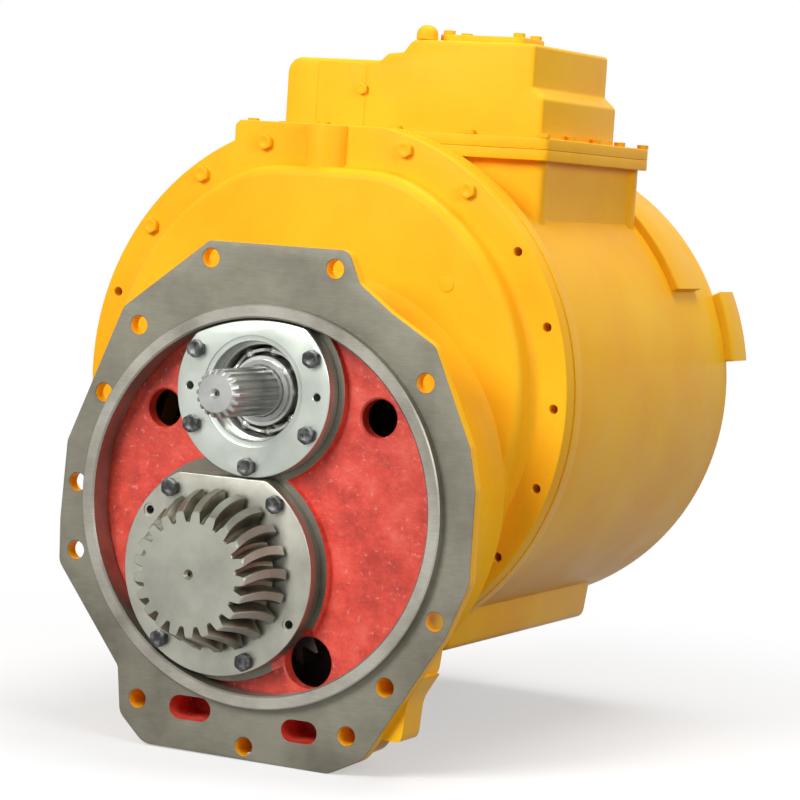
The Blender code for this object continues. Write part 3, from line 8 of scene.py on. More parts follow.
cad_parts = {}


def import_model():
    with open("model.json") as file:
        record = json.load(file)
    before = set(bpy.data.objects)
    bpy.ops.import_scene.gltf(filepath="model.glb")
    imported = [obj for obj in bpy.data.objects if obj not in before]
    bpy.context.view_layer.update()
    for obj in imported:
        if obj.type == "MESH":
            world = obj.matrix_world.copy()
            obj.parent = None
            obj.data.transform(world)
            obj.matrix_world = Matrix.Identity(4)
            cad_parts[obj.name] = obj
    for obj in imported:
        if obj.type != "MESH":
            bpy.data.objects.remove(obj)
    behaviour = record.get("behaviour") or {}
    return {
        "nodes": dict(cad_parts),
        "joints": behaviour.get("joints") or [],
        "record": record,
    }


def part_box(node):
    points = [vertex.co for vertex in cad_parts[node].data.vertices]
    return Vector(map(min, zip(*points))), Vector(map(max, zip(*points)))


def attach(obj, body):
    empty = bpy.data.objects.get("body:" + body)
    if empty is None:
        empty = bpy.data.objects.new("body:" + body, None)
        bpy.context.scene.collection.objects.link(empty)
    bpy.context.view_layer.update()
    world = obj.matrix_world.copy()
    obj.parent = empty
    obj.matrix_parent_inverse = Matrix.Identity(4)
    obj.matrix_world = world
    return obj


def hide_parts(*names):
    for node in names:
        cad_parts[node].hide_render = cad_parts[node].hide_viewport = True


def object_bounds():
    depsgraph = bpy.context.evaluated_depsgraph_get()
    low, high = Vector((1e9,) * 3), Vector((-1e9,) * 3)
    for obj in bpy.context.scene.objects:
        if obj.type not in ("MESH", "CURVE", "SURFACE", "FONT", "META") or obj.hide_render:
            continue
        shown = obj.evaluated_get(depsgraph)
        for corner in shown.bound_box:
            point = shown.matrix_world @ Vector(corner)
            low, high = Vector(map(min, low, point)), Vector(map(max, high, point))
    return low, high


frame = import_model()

CAD_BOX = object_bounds()

# Places from the frame.  Design values below are millimetres from the centre of the pilot bore, on
# the face of the front flange: X right as seen from the front, Y into the gearbox, Z up.
MM = 0.001
mounts = {mount["name"]: Vector(mount["pos_m"]) for mount in frame["record"]["mounts"]}
joints = {joint["name"]: joint for joint in frame["joints"]}
SPIGOT_PROUD = 12.0
ORIGIN = mounts["pilot_spigot"] / MM + Vector((0, SPIGOT_PROUD, 0))


def design(point):
    """Design coordinates of a point of the frame."""
    return Vector(point) / MM - ORIGIN


INPUT = design(joints["input_spin"]["pos_m"])
PINION = design(joints["pinion_spin"]["pos_m"])
PINION_FACE = design(mounts["output_pinion"]).y
SHAFT_FACE = design(mounts["input_spline"]).y


def node_box(node):
    low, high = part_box(node)
    return design(low), design(high)


# Common
SEAT_GAP = 0.3            # between two bolted faces
PAST = 5.0                # how far a cutting solid reaches past the face that it opens
SINK = 0.3                # depth of a bolt head in its seat
M8, M10, M12 = (4.0, 6.5, 5.5), (5.0, 8.5, 7.5), (6.0, 9.5, 8.0)    # shank radius, half across flats, head
LOW_M8 = (4.0, 6.5, 4.5)
M12_THREAD_R, M12_CLEAR_R = 6.3, 6.6
JACK_R, JACK_RIM_R = 5.0, 8.0

# Front case
PILOT_BORE_R = 215.0
SPIGOT_R = 230.5
FLANGE_THICK = 17.0
FLANGE_TOP, FLANGE_BOTTOM, FLANGE_HALF_WIDTH = 298.0, -293.0, 266.0
FLANGE_HOLE_R = 11.0
FLANGE_HOLES = ((-84, 278), (76, 276), (-174, 194), (-216, 112), (197, 158), (-245, 4), (-242, -76),
                (227, -105), (171, -186), (-147, -240), (127, -247), (-3, -277))
DRAIN_SLOTS = ((-76, -242, 55, 28), (67, -250, 46, 26))
WALL_Y, WALL_BACK = 22.0, 40.0
BOSS_Y = 12.0
WALL_HOLES = ((-146, 99, 22), (132, 112, 22), (61, -174, 30))
NECK_R, NECK_STRAIGHT = 234.0, 92.0
NECK_SHIFT, NECK_LIFT, NECK_FLARE = -4.0, 18.0, 17.0
BOSS_RIM = 8.0
CHAMBER_R, CHAMBER_BACK = 226.0, 114.0
PASSAGE_R, PASSAGE_Z = 198.0, 39.0
SHOULDER_Y, SHOULDER_R, SHOULDER_TOP, SHOULDER_EDGE = 125.0, 272.0, 391.0, 13.0
RING_FRONT, RING_BACK, RING_R, RING_TOP = 157.0, 180.0, 316.0, 441.0
RING_BOLT_R, RING_HOLES, RING_HOLE_R = 300.0, 20, 5.3
RING_BOLTED = (3, 4, 6, 7, 8, 12, 14, 16)
LEDGE_LEFT = -150.0
CAVITY_R = 256.0
PASSAGE_BOSS_X, PASSAGE_BOSS_R = -25.0, 26.0
CASTING_MARK = (157.0, 265.0, 9.0)
FOOT = (150.0, 190.0, -248.0, -172.0, 62.0)

# Main case
CASE_RIGHT, CASE_REAR = node_box("main_case")[1].x, node_box("main_case")[1].y
CASE_FLANGE_R, CASE_FLANGE_THICK = CASE_RIGHT - INPUT.x - 0.1, 22.0
LUG_REACH = 30.0
BARREL_REAR = CASE_REAR - LUG_REACH
BARREL_R, BARREL_WALL, BARREL_EDGE, REAR_WALL = 302.0, 12.0, 22.0, 14.0
SUMP = (-168.0, 140.0, -178.0, 250.0, 675.0)
CHAMBER = (-178.0, 205.0, 268.0, 582.0)
CHAMBER_TOP = 427.0
CHAMBER_FLANGE = (-190.0, 216.0, 252.0, 586.0)
CHAMBER_FLANGE_THICK = 13.0
OIL_BAND = (587.0, 672.0, 26.0, 50.0, 10.0)
REAR_LUG = (728.0, 782.0, 8.0, 25.0, 12.0)
REAR_BORE_R, REAR_COVER_R, REAR_BOLT_R, REAR_COVER_BORE_R = 60.0, 92.0, 78.0, 45.3
REAR_COVER_FACE, REAR_PILOT = 12.3, 6.0

# Covers and shafts
COVER_R, COVER_FACE, COVER_BACK, COVER_OPENING_R = 98.5, -10.0, 11.7, 57.0
COVER_BOLT_R, COVER_BOLT_ANGLES = 86.0, (30, 150, 210, 270, 330)
CAGE_R, CAGE_FACE, CAGE_CHORD = 122.0, -12.0, 108.0
CAGE_BOLT_R, CAGE_BOLT_ANGLES, CAGE_JACK_ANGLES = 110.0, (49, 126, 232, 294), (147, 332)
CAGE_SPIGOT_R, CAGE_SPIGOT_END, CAGE_BORE_R, CAGE_LIP_R = 88.0, 60.0, 68.0, 60.0
TRIM_R = 212.5
SPLINE_TEETH, SPLINE_R, SPLINE_ROOT_R = 18, 27.5, 24.6
PINION_TEETH = 21
PINION_HEEL = -18.0
PINION_TIP = (72.0, 94.0)
PINION_DEPTH = (12.0, 17.0)
PINION_SPIRAL, PINION_SPIRAL_BACK = math.radians(17.8), math.radians(14.8)
PINION_CHAMFER = 1.0
PINION_NECK_R = 57.0
PINION_STEPS = ((38.0, -4.0), (30.0, 104.6), (25.0, 176.3))     # shaft radius from this Y on
JOURNAL_R, SHAFT_R = 29.7, 26.0
BEARING_FRONT, BEARING_BACK = 12.3, 36.3
INNER_RING, OUTER_RING = (30.0, 40.5), (53.0, 62.0)
BALLS, BALL_R = 9, 6.6
BEARING_MIDDLE = (BEARING_FRONT + BEARING_BACK) / 2
BALL_ORBIT = (INNER_RING[1] + OUTER_RING[0]) / 2
RACE_DEPTH, RACE_HALF, RACE_CHAMFER = 0.7, 4.0, 0.8
RIBBON_HALF, RIBBON_NARROW, RIBBON_SWELL = 1.6, 2.0, 3.2

# Valve cover
COVER_SIDES = (-140.0, 202.0)
COVER_UPPER_RIGHT, COVER_STEP_Z = 187.0, 494.0
LOW_TOP, HIGH_TOP, HIGH_LEFT = 524.0, 551.0, 26.0
COVER_Y = (264.0, 495.0)
COVER_WALL = 9.0
COVER_FLANGE_THICK = 14.0
FRONT_STEPS = ((-32.0, 1.0), (-97.0, 2.0))        # up to this X the front stands this far proud
TOP_PLATE = (45.0, 157.0, 296.0, 366.0, 9.0)
BREATHER = (38.0, 280.0)
RIM_INSET = 8.0
FRONT_SCREW = (-36.0, 489.0)


# Outlines
def circle(n, r, cx=0.0, cz=0.0):
    angles = [2 * math.pi * i / n for i in range(n)]
    return [(cx + r * math.cos(a), cz + r * math.sin(a)) for a in angles]


def spot(r, a, axis):
    return axis.x + r * math.cos(a), axis.z + r * math.sin(a)


def around(r, degrees, axis):
    return [spot(r, math.radians(angle), axis) for angle in degrees]


def quarter(n):
    return [math.pi / 2 * k / n for k in range(n + 1)]


def disc(n, r, axis):
    return circle(n, r, axis.x, axis.z)


def rounded(corners, steps=7):
    """Corners given as (x, z, radius), each turned into an arc."""
    points = []
    for i, (x, z, r) in enumerate(corners):
        here = Vector((x, z))
        if r <= 0:
            points.append((x, z))
            continue
        before = (Vector(corners[i - 1][:2]) - here).normalized()
        after = (Vector(corners[(i + 1) % len(corners)][:2]) - here).normalized()
        half = math.acos(max(-1.0, min(1.0, before.dot(after)))) / 2
        reach = r / math.tan(half)
        middle = here + (before + after).normalized() * (r / math.sin(half))
        start, end = here + before * reach - middle, here + after * reach - middle
        sweep = start.angle_signed(end)
        for k in range(steps + 1):
            a = -sweep * k / steps
            points.append((middle.x + start.x * math.cos(a) - start.y * math.sin(a),
                           middle.y + start.x * math.sin(a) + start.y * math.cos(a)))
    return points


def rectangle(x0, x1, y0, y1, r):
    return rounded(((x0, y0, r), (x1, y0, r), (x1, y1, r), (x0, y1, r)))


def inset(outline, by):
    """The outline moved inwards along its corner bisectors."""
    area = sum(a[0] * b[1] - b[0] * a[1] for a, b in zip(outline, outline[1:] + outline[:1]))
    side = 1.0 if area > 0 else -1.0
    moved = []
    for i, here in enumerate(outline):
        before = Vector(here) - Vector(outline[i - 1])
        after = Vector(outline[(i + 1) % len(outline)]) - Vector(here)
        if before.length < 1e-6:
            before = after
        if after.length < 1e-6:
            after = before
        bisector = Vector((-before.y, before.x)).normalized() + Vector((-after.y, after.x)).normalized()
        bisector.normalize()
        normal = Vector((-after.y, after.x)).normalized()
        scale = by / max(0.4, bisector.dot(normal))
        moved.append((here[0] + side * bisector.x * scale, here[1] + side * bisector.y * scale))
    return moved


def flange_outline():
    left, right, top, bottom = -FLANGE_HALF_WIDTH, FLANGE_HALF_WIDTH, FLANGE_TOP, FLANGE_BOTTOM
    return rounded((
        (-87, top, 10), (92, top, 14), (108, 262, 12), (150, 232, 30), (206, 200, 20), (right - 10, 92, 20),
        (right, 45, 30), (right, -60, 30), (242, -121, 30), (150, bottom + 22, 30), (106, bottom, 20),
        (-136, bottom + 2, 26), (-170, bottom + 34, 20), (-176, -205, 12), (left + 2, -92, 20),
        (left, -40, 20), (left + 4, 52, 20), (-196, 214, 14)))


def shoulder_outline(r, top, n=160):
    """Round about the input axis, cut flat at the top with rounded corners."""
    points = []
    rise = top - INPUT.z
    for i in range(n):
        a = 2 * math.pi * (i + 0.5) / n
        reach = r
        if math.sin(a) > 0.5:
            flat = rise / math.sin(a)
            reach = (flat ** -60 + r ** -60) ** (-1 / 60)
        points.append(spot(reach, a, INPUT))
    return points


def ring_outline(r, n=160):
    rise = RING_TOP - INPUT.z
    right = math.acos(math.sqrt(r * r - rise * rise) / r)
    left = math.pi - math.acos((INPUT.x - LEDGE_LEFT) / r)
    sweep = 2 * math.pi - (left - right)
    points = [spot(r, left + sweep * i / n, INPUT) for i in range(n + 1)]
    return points + [(LEDGE_LEFT + 6, RING_TOP), (LEDGE_LEFT, RING_TOP - 6)]


def slot_outline(x, z, length, height, n=10):
    r = height / 2
    reach = length / 2 - r
    quarter = [math.pi * (k / n - 0.5) for k in range(n + 1)]
    return ([(x + reach + r * math.cos(a), z + r * math.sin(a)) for a in quarter]
            + [(x - reach - r * math.cos(a), z - r * math.sin(a)) for a in quarter])


def within(outline, r, centre=Vector()):
    """The outline with its far points drawn in to a radius."""
    points = []
    for x, z in outline:
        x, z = x - centre.x, z - centre.z
        scale = min(1.0, r / math.hypot(x, z))
        points.append((centre.x + x * scale, centre.z + z * scale))
    return points


def trimmed(n, r, axis, chord=math.inf):
    """Round cover cut back at the pilot bore, with a flat on top where given."""
    return [(x, min(z, axis.z + chord)) for x, z in within(disc(n, r, axis), TRIM_R)]


# Solids, added to a bmesh in design millimetres
def bridge(bm, rings, closed=False):
    for a, b in zip(rings, rings[1:] + (rings[:1] if closed else [])):
        for i in range(len(a)):
            j = (i + 1) % len(a)
            bm.faces.new((a[i], a[j], b[j], b[i]))
    if not closed:
        bm.faces.new(rings[0][::-1])
        bm.faces.new(rings[-1])


def loft(bm, sections):
    bridge(bm, [[bm.verts.new((x, y, z)) for x, z in outline] for y, outline in sections])


def stack(bm, sections):
    bridge(bm, [[bm.verts.new((x, y, z)) for x, y in outline] for z, outline in sections])


def prism(bm, outline, y0, y1):
    loft(bm, ((y0, outline), (y1, outline)))


def eased(low, high, outline, edge_low, edge_high, steps=3):
    """Sections between two levels with rounded edges; an edge of 0 stays sharp."""
    turns = quarter(steps)

    def edge(level, by, side, angles):
        if not by:
            return [(level, outline)]
        return [(level + side * by * (1 - math.sin(a)), inset(outline, by * (1 - math.cos(a))))
                for a in angles]

    return edge(low, edge_low, 1, turns[::-1]) + edge(high, edge_high, -1, turns)


def slab(bm, outline, y0, y1, edge_front=1.5, edge_back=1.5):
    loft(bm, eased(y0, y1, outline, edge_front, edge_back))


def plate(bm, outline, z0, z1, edge_low=1.0, edge_high=1.5):
    stack(bm, eased(z0, z1, outline, edge_low, edge_high))


def turned(bm, profile, axis, n=96):
    """Turn a closed (radius, y) profile about a Y axis; one that starts and ends at 0 is solid."""
    solid = profile[0][0] == 0
    rings = [[bm.verts.new((x, y, z)) for x, z in disc(n, r, axis)] for r, y in profile if r > 0]
    bridge(bm, rings, closed=not solid)


def box(bm, x0, x1, y0, y1, z0, z1):
    prism(bm, ((x0, z0), (x1, z0), (x1, z1), (x0, z1)), y0, y1)


def arc_band(bm, r0, r1, a0, a1, y0, y1, edge, n=20):
    angles = [a0 + (a1 - a0) * k / n for k in range(n + 1)]
    slab(bm, around(r1, angles, INPUT) + around(r0, angles[::-1], INPUT), y0, y1, edge, edge)


def hex_bolt(bm, seat, out, size, length, n=36):
    """Hexagon screw with a chamfered head, a shallow dish on top and a washer face."""
    shank_r, half_flats, head = size
    out = Vector(out)
    across = Vector((1, 0, 0)) if abs(out.x) < 0.5 else Vector((0, 1, 0))
    other = out.cross(across)
    seat = Vector(seat)
    angles = [2 * math.pi * (k + 0.5) / n for k in range(n)]

    def hexagon(a):
        return half_flats / math.cos((a + math.pi / 6) % (math.pi / 3) - math.pi / 6)

    washer = half_flats * 0.97

    def ring(r, h):
        """Without a radius it follows the hexagon, without a height the chamfer."""
        made = []
        for a in angles:
            reach = hexagon(a) if r is None else r
            height = head - (reach - washer) * 0.6 if h is None else h
            away = (across * math.cos(a) + other * math.sin(a)) * reach
            made.append(bm.verts.new(seat + out * height + away))
        return made

    bridge(bm, [ring(r, h) for r, h in (
        (half_flats * 0.5, head - 0.5), (half_flats * 0.6, head), (washer, head), (None, None), (None, 0.6),
        (washer, 0.6), (washer, 0.0), (shank_r, 0.0), (shank_r, -length))])


# Objects
def to_mesh(name, bm):
    bmesh.ops.recalc_face_normals(bm, faces=bm.faces)
    bm.transform(Matrix.Diagonal((MM, MM, MM, 1)) @ Matrix.Translation(ORIGIN))
    mesh = bpy.data.meshes.new(name)
    bm.to_mesh(mesh)
    bm.free()
    obj = bpy.data.objects.new(name, mesh)
    bpy.context.scene.collection.objects.link(obj)
    return obj


def build(name, first, *steps):
    """Solid from a first fill and ('UNION' or 'DIFFERENCE', fill) steps, with the result applied."""
    bm = bmesh.new()
    first(bm)
    obj = to_mesh(name, bm)
    helpers = []
    for operation, fill in steps:
        bm = bmesh.new()
        fill(bm)
        helper = to_mesh(f"{name}_helper", bm)
        modifier = obj.modifiers.new(operation.title(), "BOOLEAN")
        modifier.operation = operation
        modifier.object = helper
        modifier.solver = "EXACT"
        helpers.append(helper)
    if helpers:
        depsgraph = bpy.context.evaluated_depsgraph_get()
        applied = bpy.data.meshes.new_from_object(obj.evaluated_get(depsgraph))
        obj.modifiers.clear()
        obj.data = applied
        applied.name = name
        for helper in helpers:
            bpy.data.objects.remove(helper)
    return obj


def dress(obj, materials, rule=None, sharp=32.0):
    """Give the materials, one for each face by a rule on its points and normal, and smooth shading."""
    mesh = obj.data
    mesh.materials.clear()
    for material in materials:
        mesh.materials.append(material)
    if rule:
        places = [design(vertex.co) for vertex in mesh.vertices]
        for polygon in mesh.polygons:
            polygon.material_index = rule([places[k] for k in polygon.vertices], polygon.normal)
    else:
        mesh.polygons.foreach_set("material_index", [0] * len(mesh.polygons))
    mesh.polygons.foreach_set("use_smooth", [True] * len(mesh.polygons))
    mesh.set_sharp_from_angle(angle=math.radians(sharp))
    return obj


def union(*fills):
    return [("UNION", fill) for fill in fills]


def cut(*fills):
    return [("DIFFERENCE", fill) for fill in fills]


def piece(name, node, materials, first, *steps, body="casing", rule=None, sharp=32.0):
    """Built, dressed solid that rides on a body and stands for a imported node."""
    obj = dress(build(name, first, *steps), materials, rule, sharp)
    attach(obj, body)
    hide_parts(node)


# Materials
def material(name, colour, roughness, metallic=0.0, coat=0.0, specular=0.5):
    made = bpy.data.materials.new(name)
    made.use_nodes = True
    inputs = made.node_tree.nodes["Principled BSDF"].inputs
    inputs["Base Color"].default_value = (*colour, 1.0)
    for socket, value in (("Roughness", roughness), ("Metallic", metallic), ("Coat Weight", coat),
                          ("Coat Roughness", 0.2), ("Specular IOR Level", specular)):
        inputs[socket].default_value = value
    return made


def add_node(made, kind, **values):
    """New node in a material or world, with values for its sockets or settings."""
    node = made.node_tree.nodes.new("ShaderNode" + kind)
    for name, value in values.items():
        if name in node.inputs:
            node.inputs[name].default_value = value
        else:
            setattr(node, name, value)
    return node


def link(made, output, node, socket):
    made.node_tree.links.new(output, node.inputs[socket])


def to_shader(made, output, socket):
    link(made, output, made.node_tree.nodes["Principled BSDF"], socket)


def object_noise(made, scale, detail=4.0, roughness=0.55, stretch=None):
    coordinates = add_node(made, "TexCoord").outputs["Object"]
    if stretch:
        mapping = add_node(made, "Mapping", Scale=stretch)
        link(made, coordinates, mapping, "Vector")
        coordinates = mapping.outputs["Vector"]
    noise = add_node(made, "TexNoise", Scale=scale, Detail=detail, Roughness=roughness)
    link(made, coordinates, noise, "Vector")
    return noise.outputs["Fac"]


def ramp(made, factor, stops):
    node = add_node(made, "ValToRGB")
    elements = node.color_ramp.elements
    while len(elements) < len(stops):
        elements.new(0.5)
    for element, (place, colour) in zip(elements, stops):
        element.position = place
        element.color = (*colour, 1.0)
    link(made, factor, node, "Fac")
    return node.outputs["Color"]


def mix_colour(made, factor, a, b, mode="MIX"):
    node = add_node(made, "Mix", data_type="RGBA", blend_type=mode)
    for socket, value in ((node.inputs[0], factor), (node.inputs[6], a), (node.inputs[7], b)):
        if isinstance(value, bpy.types.NodeSocket):
            made.node_tree.links.new(value, socket)
        elif isinstance(value, tuple):
            socket.default_value = (*value, 1.0)
        else:
            socket.default_value = value
    return node.outputs[2]


def map_range(made, factor, **values):
    """Map Range node; From_Min stands for its socket From Min, and so on."""
    smooth = values.pop("interpolation_type", "LINEAR")
    sockets = {name.replace("_", " "): value for name, value in values.items()}
    node = add_node(made, "MapRange", interpolation_type=smooth, **sockets)
    link(made, factor, node, "Value")
    return node.outputs["Result"]


def roughness_from(made, factor, low, high):
    to_shader(made, map_range(made, factor, To_Min=low, To_Max=high), "Roughness")


def bump_from(made, *layers):
    """Layers of (height socket, strength, distance in metres), from coarse to fine."""
    previous = None
    for height, strength, distance in layers:
        bump = add_node(made, "Bump", Strength=strength, Distance=distance)
        link(made, height, bump, "Height")
        if previous:
            link(made, previous, bump, "Normal")
        previous = bump.outputs["Normal"]
    to_shader(made, previous, "Normal")


def cast_paint(name, colour, deep):
    """Sprayed paint over sand casting: faint tint drift, soft orange peel and casting texture."""
    made = material(name, colour, 0.38, specular=0.08)
    drift = object_noise(made, 7.0, 3.0)
    tint = ramp(made, drift, ((0.32, deep), (0.68, colour)))
    specks = ramp(made, object_noise(made, 260.0, 2.0), ((0.28, (0.72, 0.66, 0.60)), (0.36, (1.0, 1.0, 1.0))))
    to_shader(made, mix_colour(made, 0.25, tint, specks, "MULTIPLY"), "Base Color")
    roughness_from(made, object_noise(made, 18.0), 0.30, 0.50)
    bump_from(made, (object_noise(made, 38.0, 3.0), 0.16, 0.002),
              (object_noise(made, 420.0, 3.0), 0.12, 0.0006))
    return made


def red_primer(name):
    """Thick red sealing paint on the rough inner wall, with pale pink specks painted in as gloss highlights.
    """
    made = material(name, (0.46, 0.026, 0.022), 0.4, coat=0.1)
    cloud = object_noise(made, 26.0, 6.0, 0.65)
    tint = ramp(made, cloud, ((0.36, (0.46, 0.032, 0.018)), (0.52, (0.70, 0.060, 0.034)),
                              (0.72, (0.80, 0.125, 0.085))))
    # Pale pink specks are painted highlights of the glossy wet look of the wall
    painted_gloss_specks = ramp(made, object_noise(made, 150.0, 4.0), ((0.60, (0.0, 0.0, 0.0)), (0.74, (1.0, 1.0, 1.0))))
    to_shader(made, mix_colour(made, painted_gloss_specks, tint, (0.80, 0.20, 0.17)), "Base Color")
    roughness_from(made, cloud, 0.34, 0.60)
    bump_from(made, (object_noise(made, 45.0, 4.0), 0.5, 0.003),
              (object_noise(made, 240.0, 4.0), 0.35, 0.0010))
    return made


def machined(name, colour, stain, roughness=0.42, metallic=0.85):
    """Milled or ground face: fine cutting lines, cloudy oil film and darker stains."""
    made = material(name, colour, roughness, metallic)
    film = object_noise(made, 11.0, 5.0, 0.6)
    tint = ramp(made, film, ((0.30, stain), (0.62, colour)))
    lines = object_noise(made, 60.0, 2.0, 0.5, (1.0, 1.0, 14.0))
    cuts = ramp(made, lines, ((0.30, (0.74, 0.74, 0.73)), (0.70, (1.12, 1.12, 1.10))))
    to_shader(made, mix_colour(made, 0.35, tint, cuts, "MULTIPLY"), "Base Color")
    roughness_from(made, film, roughness - 0.08, roughness + 0.14)
    bump_from(made, (lines, 0.10, 0.0004), (object_noise(made, 900.0, 2.0), 0.06, 0.0002))
    return made


def turned_steel(name, colour, stain, axis, pitch=420.0, roughness=0.34):
    """Lathe-turned face: rings about a shaft axis, with an oil film."""
    made = material(name, colour, roughness, 0.9)
    mapping = add_node(made, "Mapping", Location=tuple(-(axis + ORIGIN) * MM))
    wave = add_node(made, "TexWave", wave_type="RINGS", rings_direction="Y", Scale=pitch,
                    Distortion=1.5, Detail=2.0)
    link(made, add_node(made, "TexCoord").outputs["Object"], mapping, "Vector")
    link(made, mapping.outputs["Vector"], wave, "Vector")
    film = object_noise(made, 14.0, 5.0, 0.6)
    tint = ramp(made, film, ((0.30, stain), (0.60, colour)))
    grooves = ramp(made, wave.outputs["Fac"], ((0.0, (0.82, 0.82, 0.82)), (1.0, (1.05, 1.05, 1.05))))
    to_shader(made, mix_colour(made, 0.5, tint, grooves, "MULTIPLY"), "Base Color")
    roughness_from(made, film, roughness - 0.06, roughness + 0.12)
    bump_from(made, (wave.outputs["Fac"], 0.10, 0.0003))
    return made


def oiled_gear(name, colour, oil, roughness=0.30):
    """Hardened gear steel under a brown oil film."""
    made = material(name, colour, roughness, 0.75)
    film = object_noise(made, 22.0, 5.0, 0.6)
    to_shader(made, ramp(made, film, ((0.34, oil), (0.66, colour))), "Base Color")
    roughness_from(made, film, roughness - 0.08, roughness + 0.16)
    bump_from(made, (object_noise(made, 320.0, 3.0), 0.12, 0.0004))
    return made


def black_oxide(name):
    made = material(name, (0.055, 0.058, 0.068), 0.36, 0.85)
    worn = object_noise(made, 120.0, 4.0)
    tint = ramp(made, worn, ((0.42, (0.042, 0.043, 0.044)), (0.70, (0.17, 0.172, 0.168))))
    to_shader(made, tint, "Base Color")
    roughness_from(made, worn, 0.28, 0.50)
    bump_from(made, (object_noise(made, 700.0, 2.0), 0.15, 0.0003))
    return made


YELLOW = cast_paint("case_yellow", (0.94, 0.505, 0.018), (0.90, 0.42, 0.011))
RED = red_primer("inner_wall_red")
FLANGE_STEEL = machined("flange_grey", (0.225, 0.213, 0.166), (0.136, 0.124, 0.093), 0.56, 0.65)
BORE_STEEL = machined("pilot_grey", (0.37, 0.352, 0.302), (0.213, 0.196, 0.162), 0.40)
BOSS_STEEL = machined("boss_grey", (0.185, 0.169, 0.137), (0.102, 0.093, 0.072), 0.42)
# Near-black painted shade for the insides of the castings that show through the openings
INSIDE_PAINTED_SHADE = machined("inside_painted_shade", (0.045, 0.020, 0.015), (0.018, 0.008, 0.006), 0.55, 0.0)
COVER_STEEL = turned_steel("upper_cover_steel", (0.52, 0.555, 0.50), (0.415, 0.445, 0.395), INPUT)
CAGE_STEEL = turned_steel("lower_cover_steel", (0.41, 0.405, 0.345), (0.30, 0.295, 0.245), PINION)
SHAFT_STEEL = turned_steel("shaft_steel", (0.40, 0.405, 0.385), (0.27, 0.273, 0.252), INPUT, 600.0)
PINION_FACE_STEEL = turned_steel("pinion_face_steel", (0.35, 0.35, 0.298), (0.255, 0.255, 0.212), PINION,
                                 500.0, 0.38)
PINION_TOOTH = oiled_gear("pinion_tooth_steel", (0.25, 0.228, 0.172), (0.110, 0.094, 0.065))
GEAR_STEEL = oiled_gear("gear_steel", (0.26, 0.25, 0.215), (0.135, 0.125, 0.10))
BEARING_STEEL = oiled_gear("bearing_steel", (0.68, 0.68, 0.65), (0.50, 0.495, 0.46), 0.2)
BOLT_BLACK = black_oxide("bolt_black")
LINING = machined("friction_lining", (0.10, 0.065, 0.04), (0.05, 0.033, 0.02), 0.75, 0.0)


# Front case
def front_flange(bm):
    slab(bm, flange_outline(), 0.0, FLANGE_THICK, 1.0, 2.0)


def spigot(bm):
    edge = 1.5
    loft(bm, ((-SPIGOT_PROUD, circle(192, SPIGOT_R - edge)), (-SPIGOT_PROUD + edge, circle(192, SPIGOT_R)),
              (8.0, circle(192, SPIGOT_R))))


def neck(bm):
    """Straight behind the flange, then leaning up and flaring into the shoulder."""
    stations = [(FLANGE_THICK - 3, 0, 0, NECK_R), (NECK_STRAIGHT, 0, 0, NECK_R)]
    for k in range(1, 7):
        t = k / 6
        stations.append((NECK_STRAIGHT + (SHOULDER_Y - NECK_STRAIGHT - 1) * t,
                         NECK_SHIFT * t * t, NECK_LIFT * t * t, NECK_R + NECK_FLARE * t ** 2.4))
    stations.append((RING_FRONT + 4, -10, 72, NECK_R + 20))
    loft(bm, [(y, circle(128, r, cx, cz)) for y, cx, cz, r in stations])


def lower_body(bm):
    """The case closes in behind the lower edge of the flange."""
    front = rounded(((-190, -130, 0), (-172, -206, 16), (-166, -254, 14), (-133, FLANGE_BOTTOM + 7, 24),
                     (104, FLANGE_BOTTOM + 5, 24), (146, -266, 20), (206, -170, 20), (215, -90, 0)))
    stations = [(FLANGE_THICK - 3, front), (64, front)]
    for k in range(1, 5):
        t = k / 4
        shrink = 1 - 0.06 * t * t
        stations.append((64 + 20 * t, [(x * shrink, z * shrink + 6 * t * t) for x, z in front]))
    loft(bm, stations)


def foot(bm):
    x0, x1, z0, z1, back = FOOT
    outline = rounded(((x0, z0, 0), (x1 - 3, z0, 5), (x1, z0 + 8, 5), (x1 + 3, z0 + 46, 40), (x1 + 21, z1, 0),
                       (x0, z1 + 20, 0)))
    slab(bm, outline, FLANGE_THICK - 3, back, 0, 4)


def shoulder(bm):
    """Rounded front edge, straight side, and a fillet that runs out on the ring."""
    sections = []
    for a in quarter(6):
        back = SHOULDER_EDGE * (1 - math.cos(a))
        sections.append((SHOULDER_Y + SHOULDER_EDGE * (1 - math.sin(a)),
                         SHOULDER_R - back, SHOULDER_TOP - back))
    sections = sections[::-1]
    for k in range(1, 6):
        t = k / 5
        sections.append((RING_FRONT - 12 + 16 * t, SHOULDER_R + 13 * t ** 2.5, SHOULDER_TOP + 8 * t ** 2.5))
    loft(bm, [(y, shoulder_outline(r, top)) for y, r, top in sections])


def bolting_ring(bm):
    slab(bm, ring_outline(RING_R), RING_FRONT, RING_BACK, 1.8, 0)


def passage_boss(bm):
    whole = circle(64, PASSAGE_BOSS_R, PASSAGE_BOSS_X, RING_FRONT + 2)
    plate(bm, [(x, y) for x, y in whole if y < RING_FRONT + 4], SHOULDER_TOP - 16, RING_TOP - 0.4, 0, 1.5)


def pilot_bore(bm):
    r, face = PILOT_BORE_R, -SPIGOT_PROUD
    turned(bm, ((0, face - 5), (r + 7, face - 5), (r + 2, face), (r, face + 2), (r, WALL_Y - 3),
                (r + 1.5, WALL_Y - 2), (r + 1.5, WALL_Y), (0, WALL_Y)), Vector(), 192)


def gear_chamber(bm):
    prism(bm, circle(96, CHAMBER_R), WALL_BACK, CHAMBER_BACK)


def passage(bm):
    """Way for the shafts from the gear chamber to the cavity."""
    prism(bm, circle(64, PASSAGE_R, INPUT.x + 4, PASSAGE_Z), CHAMBER_BACK - 2, RING_FRONT - 2)


def cavity(bm):
    prism(bm, disc(96, CAVITY_R, INPUT), RING_FRONT - 8, RING_BACK + PAST)


